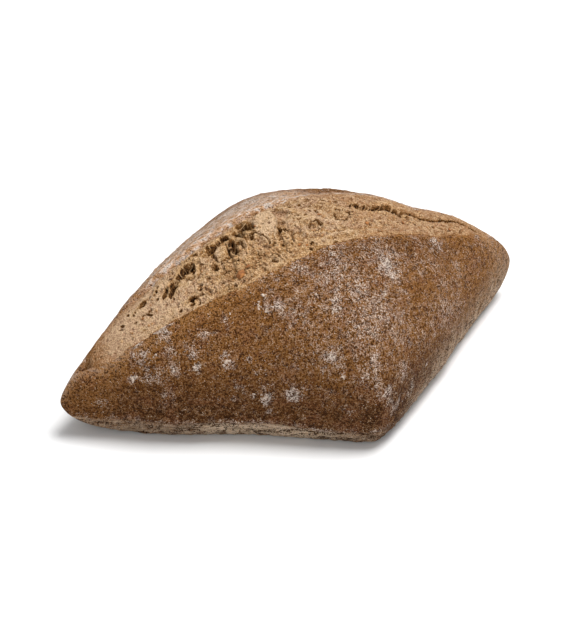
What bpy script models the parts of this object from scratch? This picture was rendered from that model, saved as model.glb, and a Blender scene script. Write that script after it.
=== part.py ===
"""A rustic bread roll: a rhombus of dough, slashed from tip to tip and burst open in the oven.

The roll is one solid. It lies along X from tip to tip, its width runs along Y, and its flat
underside rests on Z = 0, with the origin under the middle. Seen from above, the slash runs down
the middle: the crust in front of it (-Y) and behind it (+Y) ends in a lip, and between the two
lips the torn crumb shows, with its cracks and burst bubbles.

Everything is in metres. The solid starts as a sphere whose poles are the two tips. Each vertex is
then carried to its place on the roll by its station along the length and its place around the
section.
"""

import math

import bmesh
import bpy
import numpy as np

MM = 0.001

# The whole roll
LENGTH = 140.0 * MM
HALF_LENGTH = LENGTH / 2
DOME_RISE = 35.0 * MM  # from the widest level up to the crest
WIDEST_LEVEL = 10.4 * MM  # height at which the sides stand out furthest
TUCK = 4.9 * MM  # how far the underside's edge lies inside the widest line

# The plan outline is a rhombus with soft corners, given for the front and the back half. Places
# along the length are shares of the half length, from -1 at the left tip to 1 at the right one.
# Each pair below is (left of the corner, right of the corner).
FRONT_CORNER = 0.013
FRONT_HALF_WIDTH = 46.6 * MM
FRONT_SWELL = (0.75, 1.0)
FRONT_TIP = (0.78, 0.98)
FRONT_CORNER_SOFTNESS = 0.07
BACK_CORNER = 0.117
BACK_HALF_WIDTH = 46.4 * MM
BACK_SWELL = (1.12, 1.24)
BACK_TIP = (1.08, 0.87)
BACK_CORNER_SOFTNESS = 0.15
FRONT_CREST_SOFTNESS = 0.25  # the front corner's ridge softens to this towards the crest

# The cut edges wander in and out a little, most of all at the left
EDGE_WAVE = 0.7 * MM
EDGE_WAVE_LENGTH = 38.0 * MM
EDGE_WAVE_START = -46.0 * MM

# The dome over the widest line
CREST_FALL = 1.66  # how the crest runs down from the middle
CREST_TIP = (0.69, 0.63)  # how bluntly it ends at the left and the right tip
FRONT_FULLNESS = 2.14  # 2 is an ellipse, more is fuller
BACK_FULLNESS = 1.85
CREST_DIP = 1.9 * MM  # sag of the crest right of the middle
CREST_DIP_PLACE = 43.0 * MM
CREST_DIP_REACH = 7.0 * MM
TIP_LIFT_START = 0.7  # past this share of the half length the underside lifts off the table

# The slash. Each lip bows away from the X axis, by its bow at the middle
FRONT_LIP_BOW = 14.3 * MM
BACK_LIP_BOW = 12.6 * MM
BACK_LIP_SHIFT = 8.0 * MM
LIP_REACH = 66.0 * MM
LIP_CURVE = 0.75
LEAST_LIP_SHARE = 0.25  # near the tips the grid's lips stay this share of the half width apart
LIP_BEAD = 0.5 * MM  # the crust swells towards its lip
LIP_BEAD_REACH = 2.2 * MM
CRUMB_STEP = 0.7 * MM  # the crumb starts this far below the lip
CRUMB_SAG = 0.6 * MM

# The sphere's mesh: stations along the length, and rows around each section, counted for the
# underside's front half, the front tuck, the front flank, the opening, and back down
STATIONS = 80
ROWS = (7, 5, 13, 24, 13, 5, 7)
STATION_CROWDING = 0.42  # 1 crowds the stations towards the tips, 0 spaces them evenly

# Random relief, as (cell size, height), and where its random numbers start
CRUST_RELIEF = ((17.0 * MM, 0.55 * MM), (7.0 * MM, 0.22 * MM))
CRUMB_RELIEF = ((9.0 * MM, 0.9 * MM), (4.5 * MM, 0.75 * MM))
SEED = 7
LATTICE = 48

# Cracks in the crumb, each a line from one end to the other with a bow, as
# (start, end, bow to the back, width, depth)
CRACKS = (
    ((-26.0 * MM, 1.6 * MM), (-17.0 * MM, 6.4 * MM), 0.4 * MM, 1.6 * MM, 2.6 * MM),
    ((11.0 * MM, -3.0 * MM), (23.5 * MM, 3.0 * MM), 0.6 * MM, 1.6 * MM, 2.4 * MM),
    ((20.5 * MM, 1.8 * MM), (37.5 * MM, -2.6 * MM), 0.8 * MM, 2.2 * MM, 3.2 * MM),
    ((35.0 * MM, -2.2 * MM), (58.0 * MM, -2.8 * MM), -0.3 * MM, 1.2 * MM, 1.8 * MM),
)

# Burst bubbles, as (x, y, length, width, turn in degrees, depth)
BUBBLES = (
    (-44.6 * MM, 1.0 * MM, 3.4 * MM, 2.4 * MM, 10.0, 1.4 * MM),
    (-34.6 * MM, 0.8 * MM, 9.6 * MM, 4.2 * MM, 42.0, 3.6 * MM),
    (-28.4 * MM, 5.2 * MM, 4.6 * MM, 2.8 * MM, 20.0, 2.0 * MM),
    (-19.0 * MM, -1.4 * MM, 7.2 * MM, 3.8 * MM, 38.0, 3.4 * MM),
    (-12.6 * MM, 5.8 * MM, 7.4 * MM, 4.4 * MM, 52.0, 3.8 * MM),
    (-12.8 * MM, 0.0 * MM, 4.2 * MM, 3.2 * MM, 40.0, 2.8 * MM),
    (-9.6 * MM, -3.8 * MM, 3.4 * MM, 5.4 * MM, -12.0, 1.9 * MM),
    (-24.8 * MM, -6.6 * MM, 4.4 * MM, 3.2 * MM, 20.0, 1.5 * MM),
    (-34.0 * MM, -8.0 * MM, 4.4 * MM, 2.6 * MM, 10.0, 1.3 * MM),
    (-6.9 * MM, -8.6 * MM, 3.2 * MM, 3.4 * MM, 0.0, 1.2 * MM),
    (5.2 * MM, -5.4 * MM, 3.4 * MM, 2.6 * MM, 0.0, 1.1 * MM),
    (15.2 * MM, 3.2 * MM, 3.6 * MM, 2.6 * MM, 0.0, 1.2 * MM),
)

# A smooth lump of crumb that stands over the bubbles on its left, as (x, y, reach, height)
LUMP = (-6.8 * MM, 3.6 * MM, 5.4 * MM, 1.1 * MM)

# The look of the crust in plain views
CRUST_COLOUR = (0.27, 0.14, 0.065, 1.0)
CRUST_ROUGHNESS = 0.85


def by_side(place, split, pair):
    """The pair's first value left of the split, and its second right of it."""
    return np.where(place < split, pair[0], pair[1])


def half_width(along, corner, widest, swell, tip, softness):
    """Half width of one side of the rhombus at a share of the half length.

    The distance from the corner runs from 0 there to 1 at the tip, rounded at the corner like a
    hyperbola. The width is widest * (1 - distance ** swell) ** tip.
    """
    reach = np.where(along < corner, 1 + corner, 1 - corner)
    distance = np.abs(along - corner) / reach
    top = math.hypot(1, softness) - softness
    distance = np.clip((np.hypot(distance, softness) - softness) / top, 0, 1)
    return widest * (1 - distance ** by_side(along, corner, swell)) ** by_side(along, corner, tip)


def outline(along, front_softness=FRONT_CORNER_SOFTNESS):
    """Half widths in front and behind, with the waves of the cut edges, fading at the tips."""
    front = half_width(
        along, FRONT_CORNER, FRONT_HALF_WIDTH, FRONT_SWELL, FRONT_TIP, front_softness
    )
    back = half_width(
        along, BACK_CORNER, BACK_HALF_WIDTH, BACK_SWELL, BACK_TIP, BACK_CORNER_SOFTNESS
    )
    phase = 2 * math.pi * (along * HALF_LENGTH - EDGE_WAVE_START) / EDGE_WAVE_LENGTH
    wave = EDGE_WAVE * (1 - np.abs(along) ** 6) * (1 - along) / 2
    return front + wave * np.cos(phase), back + 0.5 * wave * np.sin(0.8 * phase)


def dome_rise(along):
    """Height of the crest above the widest level."""
    rise = DOME_RISE * (1 - np.abs(along) ** CREST_FALL) ** by_side(along, 0, CREST_TIP)
    offset = (along * HALF_LENGTH - CREST_DIP_PLACE) / CREST_DIP_REACH
    return rise - CREST_DIP * np.exp(-(offset**2))


def underside_height(along):
    """Height of the underside above the table: 0, and a quarter ellipse up to each tip."""
    share = np.clip((np.abs(along) - TIP_LIFT_START) / (1 - TIP_LIFT_START), 0, 1)
    return WIDEST_LEVEL * (1 - np.sqrt(1 - share**2))


def lips(along):
    """The y of the front lip and of the back lip."""
    x = along * HALF_LENGTH
    front = np.clip(1 - (x / LIP_REACH) ** 2, 0, 1) ** LIP_CURVE
    shifted = x - BACK_LIP_SHIFT * (1 - along**2)
    back = np.clip(1 - (shifted / LIP_REACH) ** 2, 0, 1) ** LIP_CURVE
    return -FRONT_LIP_BOW * front, BACK_LIP_BOW * back


def rows_between(around, knots):
    """For each place around the section, the band it lies in and how far through it, 0 to 1."""
    band = np.clip(np.searchsorted(knots, around, side="right") - 1, 0, len(knots) - 2)
    return band, (around - knots[band]) / (knots[band + 1] - knots[band])


def signed_power(value, power):
    return np.sign(value) * np.abs(value) ** power


def base_point(along, around):
    """Points of the smooth roll, before its relief.

    Around the section, the bands are: the flat underside, a quarter ellipse out to the widest
    line, the flank up to the lip, the dome across the opening, and the same back down. The dome
    is a superellipse whose angle runs from 0 at the front widest line to pi at the back one. In
    front its half width goes over to that of an outline with a softer corner.
    """
    front, back = outline(along)
    front_crest = outline(along, FRONT_CREST_SOFTNESS)[0]
    rise = dome_rise(along)
    floor = underside_height(along)
    front_lip, back_lip = lips(along)
    front_share = np.maximum(-front_lip / np.maximum(front_crest, MM), LEAST_LIP_SHARE)
    back_share = np.maximum(back_lip / np.maximum(back, MM), LEAST_LIP_SHARE)
    front_angle = np.arccos(np.clip(front_share, 0, 1) ** (FRONT_FULLNESS / 2))
    back_angle = math.pi - np.arccos(np.clip(back_share, 0, 1) ** (BACK_FULLNESS / 2))
    front_tuck = np.minimum(TUCK, 0.4 * front)
    back_tuck = np.minimum(TUCK, 0.4 * back)

    knots = np.cumsum((0, *ROWS)) / sum(ROWS)
    band, share = rows_between(around, knots)
    quarter = share * math.pi / 2
    angle = np.select(
        [band == 2, band == 3, band == 4],
        [
            share * front_angle,
            front_angle + share * (back_angle - front_angle),
            back_angle + share * (math.pi - back_angle),
        ],
        0.0,
    )
    cosine, sine = np.cos(angle), np.sin(angle)
    power = 2 / np.where(cosine > 0, FRONT_FULLNESS, BACK_FULLNESS)
    front_now = front + sine * (front_crest - front)
    dome_y = -signed_power(cosine, power) * np.where(cosine > 0, front_now, back)
    dome_z = WIDEST_LEVEL + rise * np.abs(sine) ** power

    y = np.select(
        [band == 0, band == 1, band == 5, band == 6],
        [
            -share * (front - front_tuck),
            -(front - front_tuck) - front_tuck * np.sin(quarter),
            (back - back_tuck) + back_tuck * np.cos(quarter),
            (1 - share) * (back - back_tuck),
        ],
        dome_y,
    )
    z = np.select(
        [band == 0, band == 1, band == 5, band == 6],
        [
            floor,
            WIDEST_LEVEL - (WIDEST_LEVEL - floor) * np.cos(quarter),
            WIDEST_LEVEL - (WIDEST_LEVEL - floor) * np.sin(quarter),
            floor,
        ],
        dome_z,
    )
    return np.stack([along * HALF_LENGTH, y, z], axis=-1)


def outward(along, around):
    """Unit normals of the smooth roll, from its slopes along the length and around."""
    step = 1e-4
    along_slope = base_point(along + step, around) - base_point(along - step, around)
    around_slope = base_point(along, around + step) - base_point(along, around - step)
    normal = np.cross(along_slope, around_slope)
    return normal / np.linalg.norm(normal, axis=-1, keepdims=True)


def lattice_noise(points, cell, seed):
    """Smooth random values from -1 to 1: random numbers on a cubic lattice, blended between."""
    table = np.random.default_rng(seed).uniform(-1, 1, (LATTICE,) * 3)
    place = points / cell
    corner = np.floor(place).astype(int)
    weight = place - corner
    weight = weight * weight * (3 - 2 * weight)
    total = np.zeros(len(points))
    for shift in np.ndindex(2, 2, 2):
        index = (corner + shift) % LATTICE
        share = np.where(shift, weight, 1 - weight).prod(axis=-1)
        total += share * table[index[:, 0], index[:, 1], index[:, 2]]
    return total


def crack_depth(x, y, crack):
    """Depth of one crack: a groove with a rounded section along a bowed line."""
    (start_x, start_y), (end_x, end_y), bow, width, depth = crack
    share = np.clip((x - start_x) / (end_x - start_x), 0, 1)
    line = start_y + share * (end_y - start_y) + 4 * bow * share * (1 - share)
    ends = np.clip(4 * np.minimum(share, 1 - share), 0, 1)
    return depth * ends * np.exp(-(((y - line) / (width / 2 + 0.4 * MM)) ** 2))


def bubble_depth(x, y, bubble):
    """Depth of one burst bubble: half an ellipsoid, seen from above as a turned ellipse."""
    centre_x, centre_y, length, width, turn, depth = bubble
    angle = math.radians(turn)
    dx, dy = x - centre_x, y - centre_y
    u = (dx * math.cos(angle) + dy * math.sin(angle)) / (length / 2)
    v = (dy * math.cos(angle) - dx * math.sin(angle)) / (width / 2)
    return depth * np.sqrt(np.clip(1 - u * u - v * v, 0, 1))


def crumb_relief(points, front_lip, back_lip):
    """Height of the torn crumb over the smooth dome, mostly below it."""
    x, y = points[:, 0], points[:, 1]
    share = np.clip((y - front_lip) / np.maximum(back_lip - front_lip, MM), 0, 1)
    edge = np.clip(5 * np.minimum(share, 1 - share), 0, 1)
    relief = -CRUMB_STEP * np.ones(len(x)) - CRUMB_SAG * 4 * share * (1 - share)
    middle = np.exp(-((x / (38.0 * MM)) ** 4))
    for number, (cell, height) in enumerate(CRUMB_RELIEF):
        roughness = height * (0.35 + 0.65 * middle)
        relief += edge * roughness * lattice_noise(points, cell, SEED + 10 + number)
    for crack in CRACKS:
        relief -= crack_depth(x, y, crack)
    pits = [bubble_depth(x, y, bubble) for bubble in BUBBLES]
    relief -= edge * np.max(pits, axis=0)
    centre_x, centre_y, reach, height = LUMP
    distance = np.hypot(x - centre_x, y - centre_y) / reach
    return relief + height * np.exp(-(distance**4))


def crust_relief(points, front_lip, back_lip):
    """Height of the crust over the smooth roll: slow swells, and a bead along each lip."""
    y = points[:, 1]
    gap = np.maximum(front_lip - y, y - back_lip)
    fade = 1 - (np.abs(points[:, 0]) / HALF_LENGTH) ** 3
    relief = LIP_BEAD * fade * np.exp(-((gap / LIP_BEAD_REACH) ** 2))
    for number, (cell, height) in enumerate(CRUST_RELIEF):
        relief += height * lattice_noise(points, cell, SEED + number)
    return relief


def roll_points(along, around):
    """Points of the finished roll."""
    points = base_point(along, around)
    opening_start = sum(ROWS[:3]) / sum(ROWS)
    opening_end = sum(ROWS[:4]) / sum(ROWS)
    torn = (around > opening_start) & (around < opening_end)
    front_lip = base_point(along, np.full_like(around, opening_start))[:, 1]
    back_lip = base_point(along, np.full_like(around, opening_end))[:, 1]
    relief = np.where(
        torn,
        crumb_relief(points, front_lip, back_lip),
        crust_relief(points, front_lip, back_lip),
    )
    height = points[:, 2] - underside_height(along)
    fade = np.clip(height / (4 * MM), 0, 1) * (1 - np.abs(along) ** 14)
    return points + outward(along, around) * (relief * fade)[:, None]


def make_roll(collection):
    """The roll: a sphere, its poles at the tips, with each vertex carried to its place."""
    sphere = bmesh.new()
    bmesh.ops.create_uvsphere(sphere, u_segments=sum(ROWS), v_segments=STATIONS, radius=1)
    places = np.array([vertex.co for vertex in sphere.verts], float)
    station = np.arccos(np.clip(-places[:, 2], -1, 1)) / math.pi
    even = 2 * station - 1
    crowded = -np.cos(math.pi * station)
    along = STATION_CROWDING * crowded + (1 - STATION_CROWDING) * even
    around = (-np.arctan2(places[:, 1], places[:, 0]) / (2 * math.pi)) % 1
    around = np.floor(around * sum(ROWS)) / sum(ROWS)
    is_tip = np.abs(along) > 1 - 1e-6
    points = np.where(
        is_tip[:, None],
        np.stack([np.sign(along) * HALF_LENGTH, 0 * along, WIDEST_LEVEL + 0 * along], axis=-1),
        roll_points(np.where(is_tip, 0.0, along), around),
    )
    for vertex, point in zip(sphere.verts, points):
        vertex.co = point
    sphere.normal_update()
    bmesh.ops.recalc_face_normals(sphere, faces=sphere.faces)
    mesh = bpy.data.meshes.new("bread_roll")
    sphere.to_mesh(mesh)
    sphere.free()
    mesh.shade_smooth()
    mesh.materials.append(crust_material())
    roll = bpy.data.objects.new("bread_roll", mesh)
    collection.objects.link(roll)
    return roll


def crust_material():
    """The baked crust's colour and dull finish."""
    material = bpy.data.materials.new("baked_crust")
    material.use_nodes = True
    shader = material.node_tree.nodes["Principled BSDF"]
    shader.inputs["Base Color"].default_value = CRUST_COLOUR
    shader.inputs["Roughness"].default_value = CRUST_ROUGHNESS
    shader.inputs["Metallic"].default_value = 0.0
    return material


def main():
    for leftover in list(bpy.data.objects):
        bpy.data.objects.remove(leftover, do_unlink=True)
    collection = bpy.data.collections.new("bread_roll")
    bpy.context.scene.collection.children.link(collection)
    make_roll(collection)


main()
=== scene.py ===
"""The looks of a rustic bread roll: floured crust, torn crumb, and the small things on them.

The roll lies along X from tip to tip on Z = 0. Its slash runs down the middle between a front lip
(-Y) and a back lip (+Y). All sizes are in millimetres until a mesh is made.
"""

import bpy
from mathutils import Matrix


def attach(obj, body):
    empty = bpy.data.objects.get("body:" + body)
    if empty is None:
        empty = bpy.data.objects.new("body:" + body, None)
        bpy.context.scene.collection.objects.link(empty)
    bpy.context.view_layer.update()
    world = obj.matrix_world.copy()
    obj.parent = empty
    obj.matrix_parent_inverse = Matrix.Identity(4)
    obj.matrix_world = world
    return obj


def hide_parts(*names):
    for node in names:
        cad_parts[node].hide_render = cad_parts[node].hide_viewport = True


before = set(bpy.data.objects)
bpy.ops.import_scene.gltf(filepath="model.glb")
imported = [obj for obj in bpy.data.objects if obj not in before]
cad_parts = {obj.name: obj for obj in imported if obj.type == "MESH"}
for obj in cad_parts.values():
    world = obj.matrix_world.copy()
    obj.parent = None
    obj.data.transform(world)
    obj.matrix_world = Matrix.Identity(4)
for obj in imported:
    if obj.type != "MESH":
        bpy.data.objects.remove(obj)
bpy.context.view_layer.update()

import logging
import math
from dataclasses import dataclass, field
from enum import Enum

import bpy
import numpy as np
from mathutils import Vector

Array = np.ndarray
Colour = tuple[float, float, float]
Line = tuple[tuple[float, float], ...]
Waves = tuple[tuple[float, ...], ...]
Outputs = bpy.types.NodeOutputs
MM = 0.001
LOG = logging.getLogger("bread_roll")


class Patch(Enum):
    """The surface values that a mesh carries to its material, by attribute name."""

    # On the crust.
    # This value is how brown the crust is baked, with painted shade added low down in front.
    BAKE = "bake_and_shade"
    FLOUR = "flour"
    BAND = "band"
    TORN = "torn"
    # This value is how deep a place lies below its neighbours; the material paints shade in the
    # hollows and light on the rises from it.
    HOLLOW_SHADE = "pit"
    ALONG = "along"
    ACROSS = "across"
    # On the crumb: shade is the painted shade in caves, cracks and holes, and below 0 a painted
    # highlight on their rims and on the fibres' crests.
    SHADE = "shade"
    # This value is the toasting, with painted shade round the caves and beside the fibres.
    TOAST_AND_SHADE = "toast_and_shade"
    # This value is painted as light on rises and as shade in hollows.
    HEIGHT = "height"
    SKIN = "skin"


def each(kind: type, *rows: tuple) -> tuple:
    """One thing of a kind for each row of its values."""
    return tuple(kind(*row) for row in rows)


def smooth(value: Array, low: float, high: float) -> Array:
    """A soft step from 0 at low to 1 at high, level at both ends."""
    share = np.clip((value - low) / (high - low), 0, 1)
    return share * share * (3 - 2 * share)


def hump(value: Array, middle: float, reach: float) -> Array:
    """A soft hump, 1 in the middle: exp(-((value - middle) / reach) ** 2)."""
    return np.exp(-(((value - middle) / reach) ** 2))


def soft_line(line: Line, x: Array, softness: float) -> Array:
    """The height of a line of straight stretches, averaged over a window to round its corners.

    Args:
        line: The line's corners, from left to right.
        x: Where to read it.
        softness: Half the window's width.

    Returns:
        One height for each x.
    """
    places, heights = np.array(line).T
    shifts = np.linspace(-softness, softness, 9)
    return np.mean([np.interp(x + shift, places, heights) for shift in shifts], axis=0)


def soften(values: Array, window: tuple[int, int]) -> Array:
    """Averages a grid over a window, three times over, which comes close to a bell-shaped blur.

    Args:
        values: The grid.
        window: Half the window's size along each side of the grid, in cells.

    Returns:
        The blurred grid.
    """
    for _ in range(3):
        for axis, half in enumerate(window):
            margin = [(0, 0), (0, 0)]
            margin[axis] = (half + 1, half)
            total = np.cumsum(np.pad(values, margin, mode="edge"), axis=axis)
            total = np.moveaxis(total, axis, 0)
            count = 2 * half + 1
            values = np.moveaxis((total[count:] - total[:-count]) / count, 0, axis)
    return values


@dataclass(frozen=True)
class Noise:
    """Seeded random fields in space."""

    seed: int

    def _draws(self, kind: int, count: int = 4096) -> Array:
        """Rows of three random numbers from -1 to 1."""
        return np.random.default_rng((self.seed, kind)).uniform(-1, 1, (count, 3))

    @staticmethod
    def _row(corner: Array) -> Array:
        """A table row for each lattice corner, mixed from its three whole numbers."""
        mixed = corner[..., 0] * 73856093 ^ corner[..., 1] * 19349663 ^ corner[..., 2] * 83492791
        return mixed & 4095

    def waves(self, points: Array, cell: float, shift: float = 0.0) -> Array:
        """Gradient noise, about -1 to 1.

        Each lattice corner has a random slope. The value at a point is the blend of the eight
        slopes round it, by a fifth-power fade.

        Args:
            points: Places, with x, y, z in the last axis.
            cell: The lattice's spacing.
            shift: Moves the places, for a field unlike the others of this spacing.

        Returns:
            One value for each place.
        """
        slopes = self._draws(0)
        place = (points + shift) / cell
        corner = np.floor(place).astype(np.int64)
        offset = place - corner
        fade = offset**3 * (offset * (6 * offset - 15) + 10)
        total = np.zeros(points.shape[:-1])
        for near in np.ndindex(2, 2, 2):
            weight = np.where(near, fade, 1 - fade).prod(axis=-1)
            slope = slopes[self._row(corner + near)]
            total += weight * (slope * (offset - near)).sum(axis=-1)
        return 1.5 * total

    def mixed(self, points: Array, parts: Waves) -> Array:
        """The sum of several waves, each given by its height, its cell and any shift."""
        return sum(height * self.waves(points, *rest) for height, *rest in parts)

    def drift(self, points: Array, cell: float) -> Array:
        """Three waves at once, as a sideways shift of each place."""
        return np.stack([self.waves(points, cell, 31 * k) for k in range(3)], axis=-1)

    def cells(self, points: Array, cell: float) -> tuple[Array, Array, Array]:
        """Distances to the two nearest random spots, one of which lies in each lattice cell.

        Args:
            points: Places, with x, y, z in the last axis.
            cell: The lattice's spacing.

        Returns:
            The distance to the nearest spot in cells, how much further the second one is (0 on the
            wall between two spots), and the nearest spot's own random number from -1 to 1.
        """
        spots, kinds = self._draws(1) * 0.45, self._draws(2)[:, 0]
        place = points / cell
        corner = np.floor(place).astype(np.int64)
        nearest = np.full(points.shape[:-1], 9.0)
        second = nearest.copy()
        kind = np.zeros(points.shape[:-1])
        for shift in np.ndindex(3, 3, 3):
            neighbour = corner + shift - 1
            row = self._row(neighbour)
            gap = np.linalg.norm(neighbour + 0.5 + spots[row] - place, axis=-1)
            second = np.minimum(second, np.maximum(gap, nearest))
            kind = np.where(gap < nearest, kinds[row], kind)
            nearest = np.minimum(gap, nearest)
        return nearest, second - nearest, kind


@dataclass(frozen=True)
class Corner:
    """One blunt corner of the rhombus, and the two edges that run from it to the tips.

    Pairs hold the value left of the corner, and the value right of it.
    """

    place: float
    width: float
    swell: tuple[float, float]
    tip: tuple[float, float]
    softness: float

    def half_width(self, along: Array, softness: float) -> Array:
        """How far the outline stands from the long axis.

        The distance d from the corner runs from 0 there to 1 at the tip, rounded at the corner
        like a hyperbola. The half width is width * (1 - d ** swell) ** tip.

        Args:
            along: Place along the roll, from -1 at the left tip to 1 at the right one.
            softness: How round the corner is.

        Returns:
            The half width for each place.
        """
        left = along < self.place
        reach = np.where(left, 1 + self.place, 1 - self.place)
        distance = np.abs(along - self.place) / reach
        top = math.hypot(1, softness) - softness
        distance = np.clip((np.hypot(distance, softness) - softness) / top, 0, 1)
        swell = np.where(left, *self.swell)
        return self.width * (1 - distance**swell) ** np.where(left, *self.tip)


@dataclass
class Section:
    """The sizes of cross sections, as columns with one row for each place along the roll."""

    along: Array
    front: Array
    back: Array
    front_crest: Array
    rise: Array
    floor: Array
    front_lip: Array
    back_lip: Array
    front_angle: Array
    back_angle: Array

    @property
    def opening(self) -> Array:
        """How wide the slash is."""
        return np.maximum(self.back_lip - self.front_lip, 0.1)


@dataclass(frozen=True)
class RollForm:
    """The smooth form of the roll, which every piece is laid on."""

    half_length: float = 70.0
    front: Corner = Corner(0.013, 46.6, (0.75, 1.0), (0.78, 0.98), 0.07)
    back: Corner = Corner(0.117, 46.4, (1.12, 1.24), (1.08, 0.87), 0.15)
    crest_softness: float = 0.25
    edge_wave: float = 0.7
    edge_wave_length: float = 38.0
    edge_wave_start: float = -46.0
    rise: float = 35.0
    widest_level: float = 10.4
    tuck: float = 4.9
    crest_fall: float = 1.66
    crest_tip: tuple[float, float] = (0.69, 0.63)
    front_fullness: float = 2.14
    back_fullness: float = 1.85
    dip: float = 1.9
    dip_place: float = 43.0
    dip_reach: float = 7.0
    tip_lift_start: float = 0.7
    least_lip_share: float = 0.25
    back_lip_bow: float = 13.6
    back_lip_shift: float = 8.0
    lip_reach: float = 66.0
    lip_curve: float = 0.75
    lip_fade: float = 8.0
    front_rag: Waves = ((0.35, 6.5), (0.25, 2.1))
    back_rag: Waves = ((0.7, 7.0, 40), (0.35, 2.2, 40))
    lip_noise: Noise = Noise(31)
    front_lip: Line = (
        (-66, 0), (-60, -5.2), (-54, -7.6), (-46, -9.2), (-38, -11.3), (-30, -12.7),
        (-24, -13.8), (-12, -14.4), (0, -13.9), (12, -12.6), (24, -12.0), (31, -11.6),
        (38, -10.2), (43, -7.6), (48, -6.4), (55, -4.9), (62, -3.0), (66, 0),
    )

    def lips(self, along: Array) -> tuple[Array, Array]:
        """The y of the front and back lip, both a little ragged.

        The front lip is a rounded line through its named points. The back one is
        bow * (1 - (x / reach) ** 2) ** curve, moved to the right in the middle.

        Args:
            along: Places along the roll.

        Returns:
            The front lip's y and the back lip's y.
        """
        x = along * self.half_length
        shifted = x - self.back_lip_shift * (1 - along**2)
        back = self.back_lip_bow * np.clip(1 - (shifted / self.lip_reach) ** 2, 0, 1) ** (
            self.lip_curve
        )
        front = soft_line(self.front_lip, x, 3.0)
        line = np.stack([x, 0 * x, 0 * x], axis=-1)
        fade = smooth(self.lip_reach - np.abs(x), 0, self.lip_fade)
        front += self.lip_noise.mixed(line, self.front_rag) * fade
        back += self.lip_noise.mixed(line, self.back_rag) * fade
        return front, back

    def section(self, along: Array) -> Section:
        """The cross sections at places along the roll.

        Args:
            along: A row of places, from -1 to 1.

        Returns:
            Their sizes as columns.
        """
        along = along[:, None]
        x = along * self.half_length
        phase = 2 * math.pi * (x - self.edge_wave_start) / self.edge_wave_length
        wave = self.edge_wave * (1 - np.abs(along) ** 6) * (1 - along) / 2
        front = self.front.half_width(along, self.front.softness) + wave * np.cos(phase)
        crest = self.front.half_width(along, self.crest_softness) + wave * np.cos(phase)
        back = self.back.half_width(along, self.back.softness) + 0.5 * wave * np.sin(0.8 * phase)
        rise = self.rise * (1 - np.abs(along) ** self.crest_fall) ** np.where(
            along < 0, *self.crest_tip
        )
        rise = rise - self.dip * hump(x, self.dip_place, self.dip_reach)
        lift = np.clip((np.abs(along) - self.tip_lift_start) / (1 - self.tip_lift_start), 0, 1)
        front_lip, back_lip = self.lips(along)
        front_share = np.clip(-front_lip / np.maximum(crest, 1), self.least_lip_share, 1)
        back_share = np.clip(back_lip / np.maximum(back, 1), self.least_lip_share, 1)
        return Section(
            along=along,
            front=front,
            back=back,
            front_crest=crest,
            rise=np.maximum(rise, 0.05),
            floor=self.widest_level * (1 - np.sqrt(1 - lift**2)),
            front_lip=front_lip,
            back_lip=back_lip,
            front_angle=np.arccos(front_share ** (self.front_fullness / 2)),
            back_angle=math.pi - np.arccos(back_share ** (self.back_fullness / 2)),
        )

    def dome(self, section: Section, angle: Array) -> Array:
        """Points on the dome above the widest line.

        The section is a superellipse: y goes with cos ** (2 / fullness) and z with
        sin ** (2 / fullness), from angle 0 at the front widest line to pi at the back one.

        Args:
            section: Cross sections, one for each row of points.
            angle: The angles, one for each point.

        Returns:
            The points, with x, y, z in the last axis.
        """
        cosine, sine = np.cos(angle), np.sin(angle)
        front = section.front + sine * (section.front_crest - section.front)
        power = 2 / np.where(cosine > 0, self.front_fullness, self.back_fullness)
        width = np.where(cosine > 0, front, section.back)
        y = -np.sign(cosine) * np.abs(cosine) ** power * width
        z = self.widest_level + section.rise * np.abs(sine) ** power
        return np.stack([section.along * self.half_length + 0 * y, y, z], axis=-1)

    def foot(self, section: Section, side: int, share: Array) -> Array:
        """Points on the tuck between the widest line and the underside's edge.

        The section is a quarter ellipse, from share 0 at the widest line to 1 at the underside.

        Args:
            section: Cross sections, one for each row of points.
            side: -1 for the front, 1 for the back.
            share: How far down the tuck each point is.

        Returns:
            The points.
        """
        width = section.front if side < 0 else section.back
        tuck = np.minimum(self.tuck, 0.4 * width)
        angle = share * math.pi / 2
        y = side * (width - tuck * (1 - np.cos(angle)))
        z = self.widest_level - (self.widest_level - section.floor) * np.sin(angle)
        return np.stack([section.along * self.half_length + 0 * y, y, z], axis=-1)

    def under(self, section: Section, side: int, share: Array) -> Array:
        """Points on the flat underside, from share 0 at its edge to 1 on the long axis."""
        width = section.front if side < 0 else section.back
        y = side * (width - np.minimum(self.tuck, 0.4 * width)) * (1 - share)
        return np.stack([section.along * self.half_length + 0 * y, y, section.floor + 0 * y], -1)

    def place(self, x: Array, angle: Array) -> Array:
        """Points on the dome at pairs of x and angle in degrees."""
        section = self.section(np.asarray(x) / self.half_length)
        return self.dome(section, np.radians(angle)[:, None])[:, 0]

    def height_at(self, x: Array, y: Array) -> Array:
        """Height of the smooth dome over places near the slash.

        Args:
            x: Places along the roll.
            y: Places across it.

        Returns:
            The z of the dome there.
        """
        section = self.section(np.ravel(x) / self.half_length)
        flat = np.ravel(y)[:, None]
        width = np.where(flat < 0, section.front_crest, section.back)
        full = np.where(flat < 0, self.front_fullness, self.back_fullness)
        part = np.clip(1 - (np.abs(flat) / width) ** full, 0, 1) ** (1 / full)
        return (self.widest_level + section.rise * part).reshape(np.shape(x))


def grid_normals(points: Array) -> Array:
    """Unit normals of a grid of points, from its slopes along both directions."""
    along, across = np.gradient(points, axis=0), np.gradient(points, axis=1)
    normal = np.cross(along, across)
    return normal / np.maximum(np.linalg.norm(normal, axis=-1, keepdims=True), 1e-9)


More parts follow.
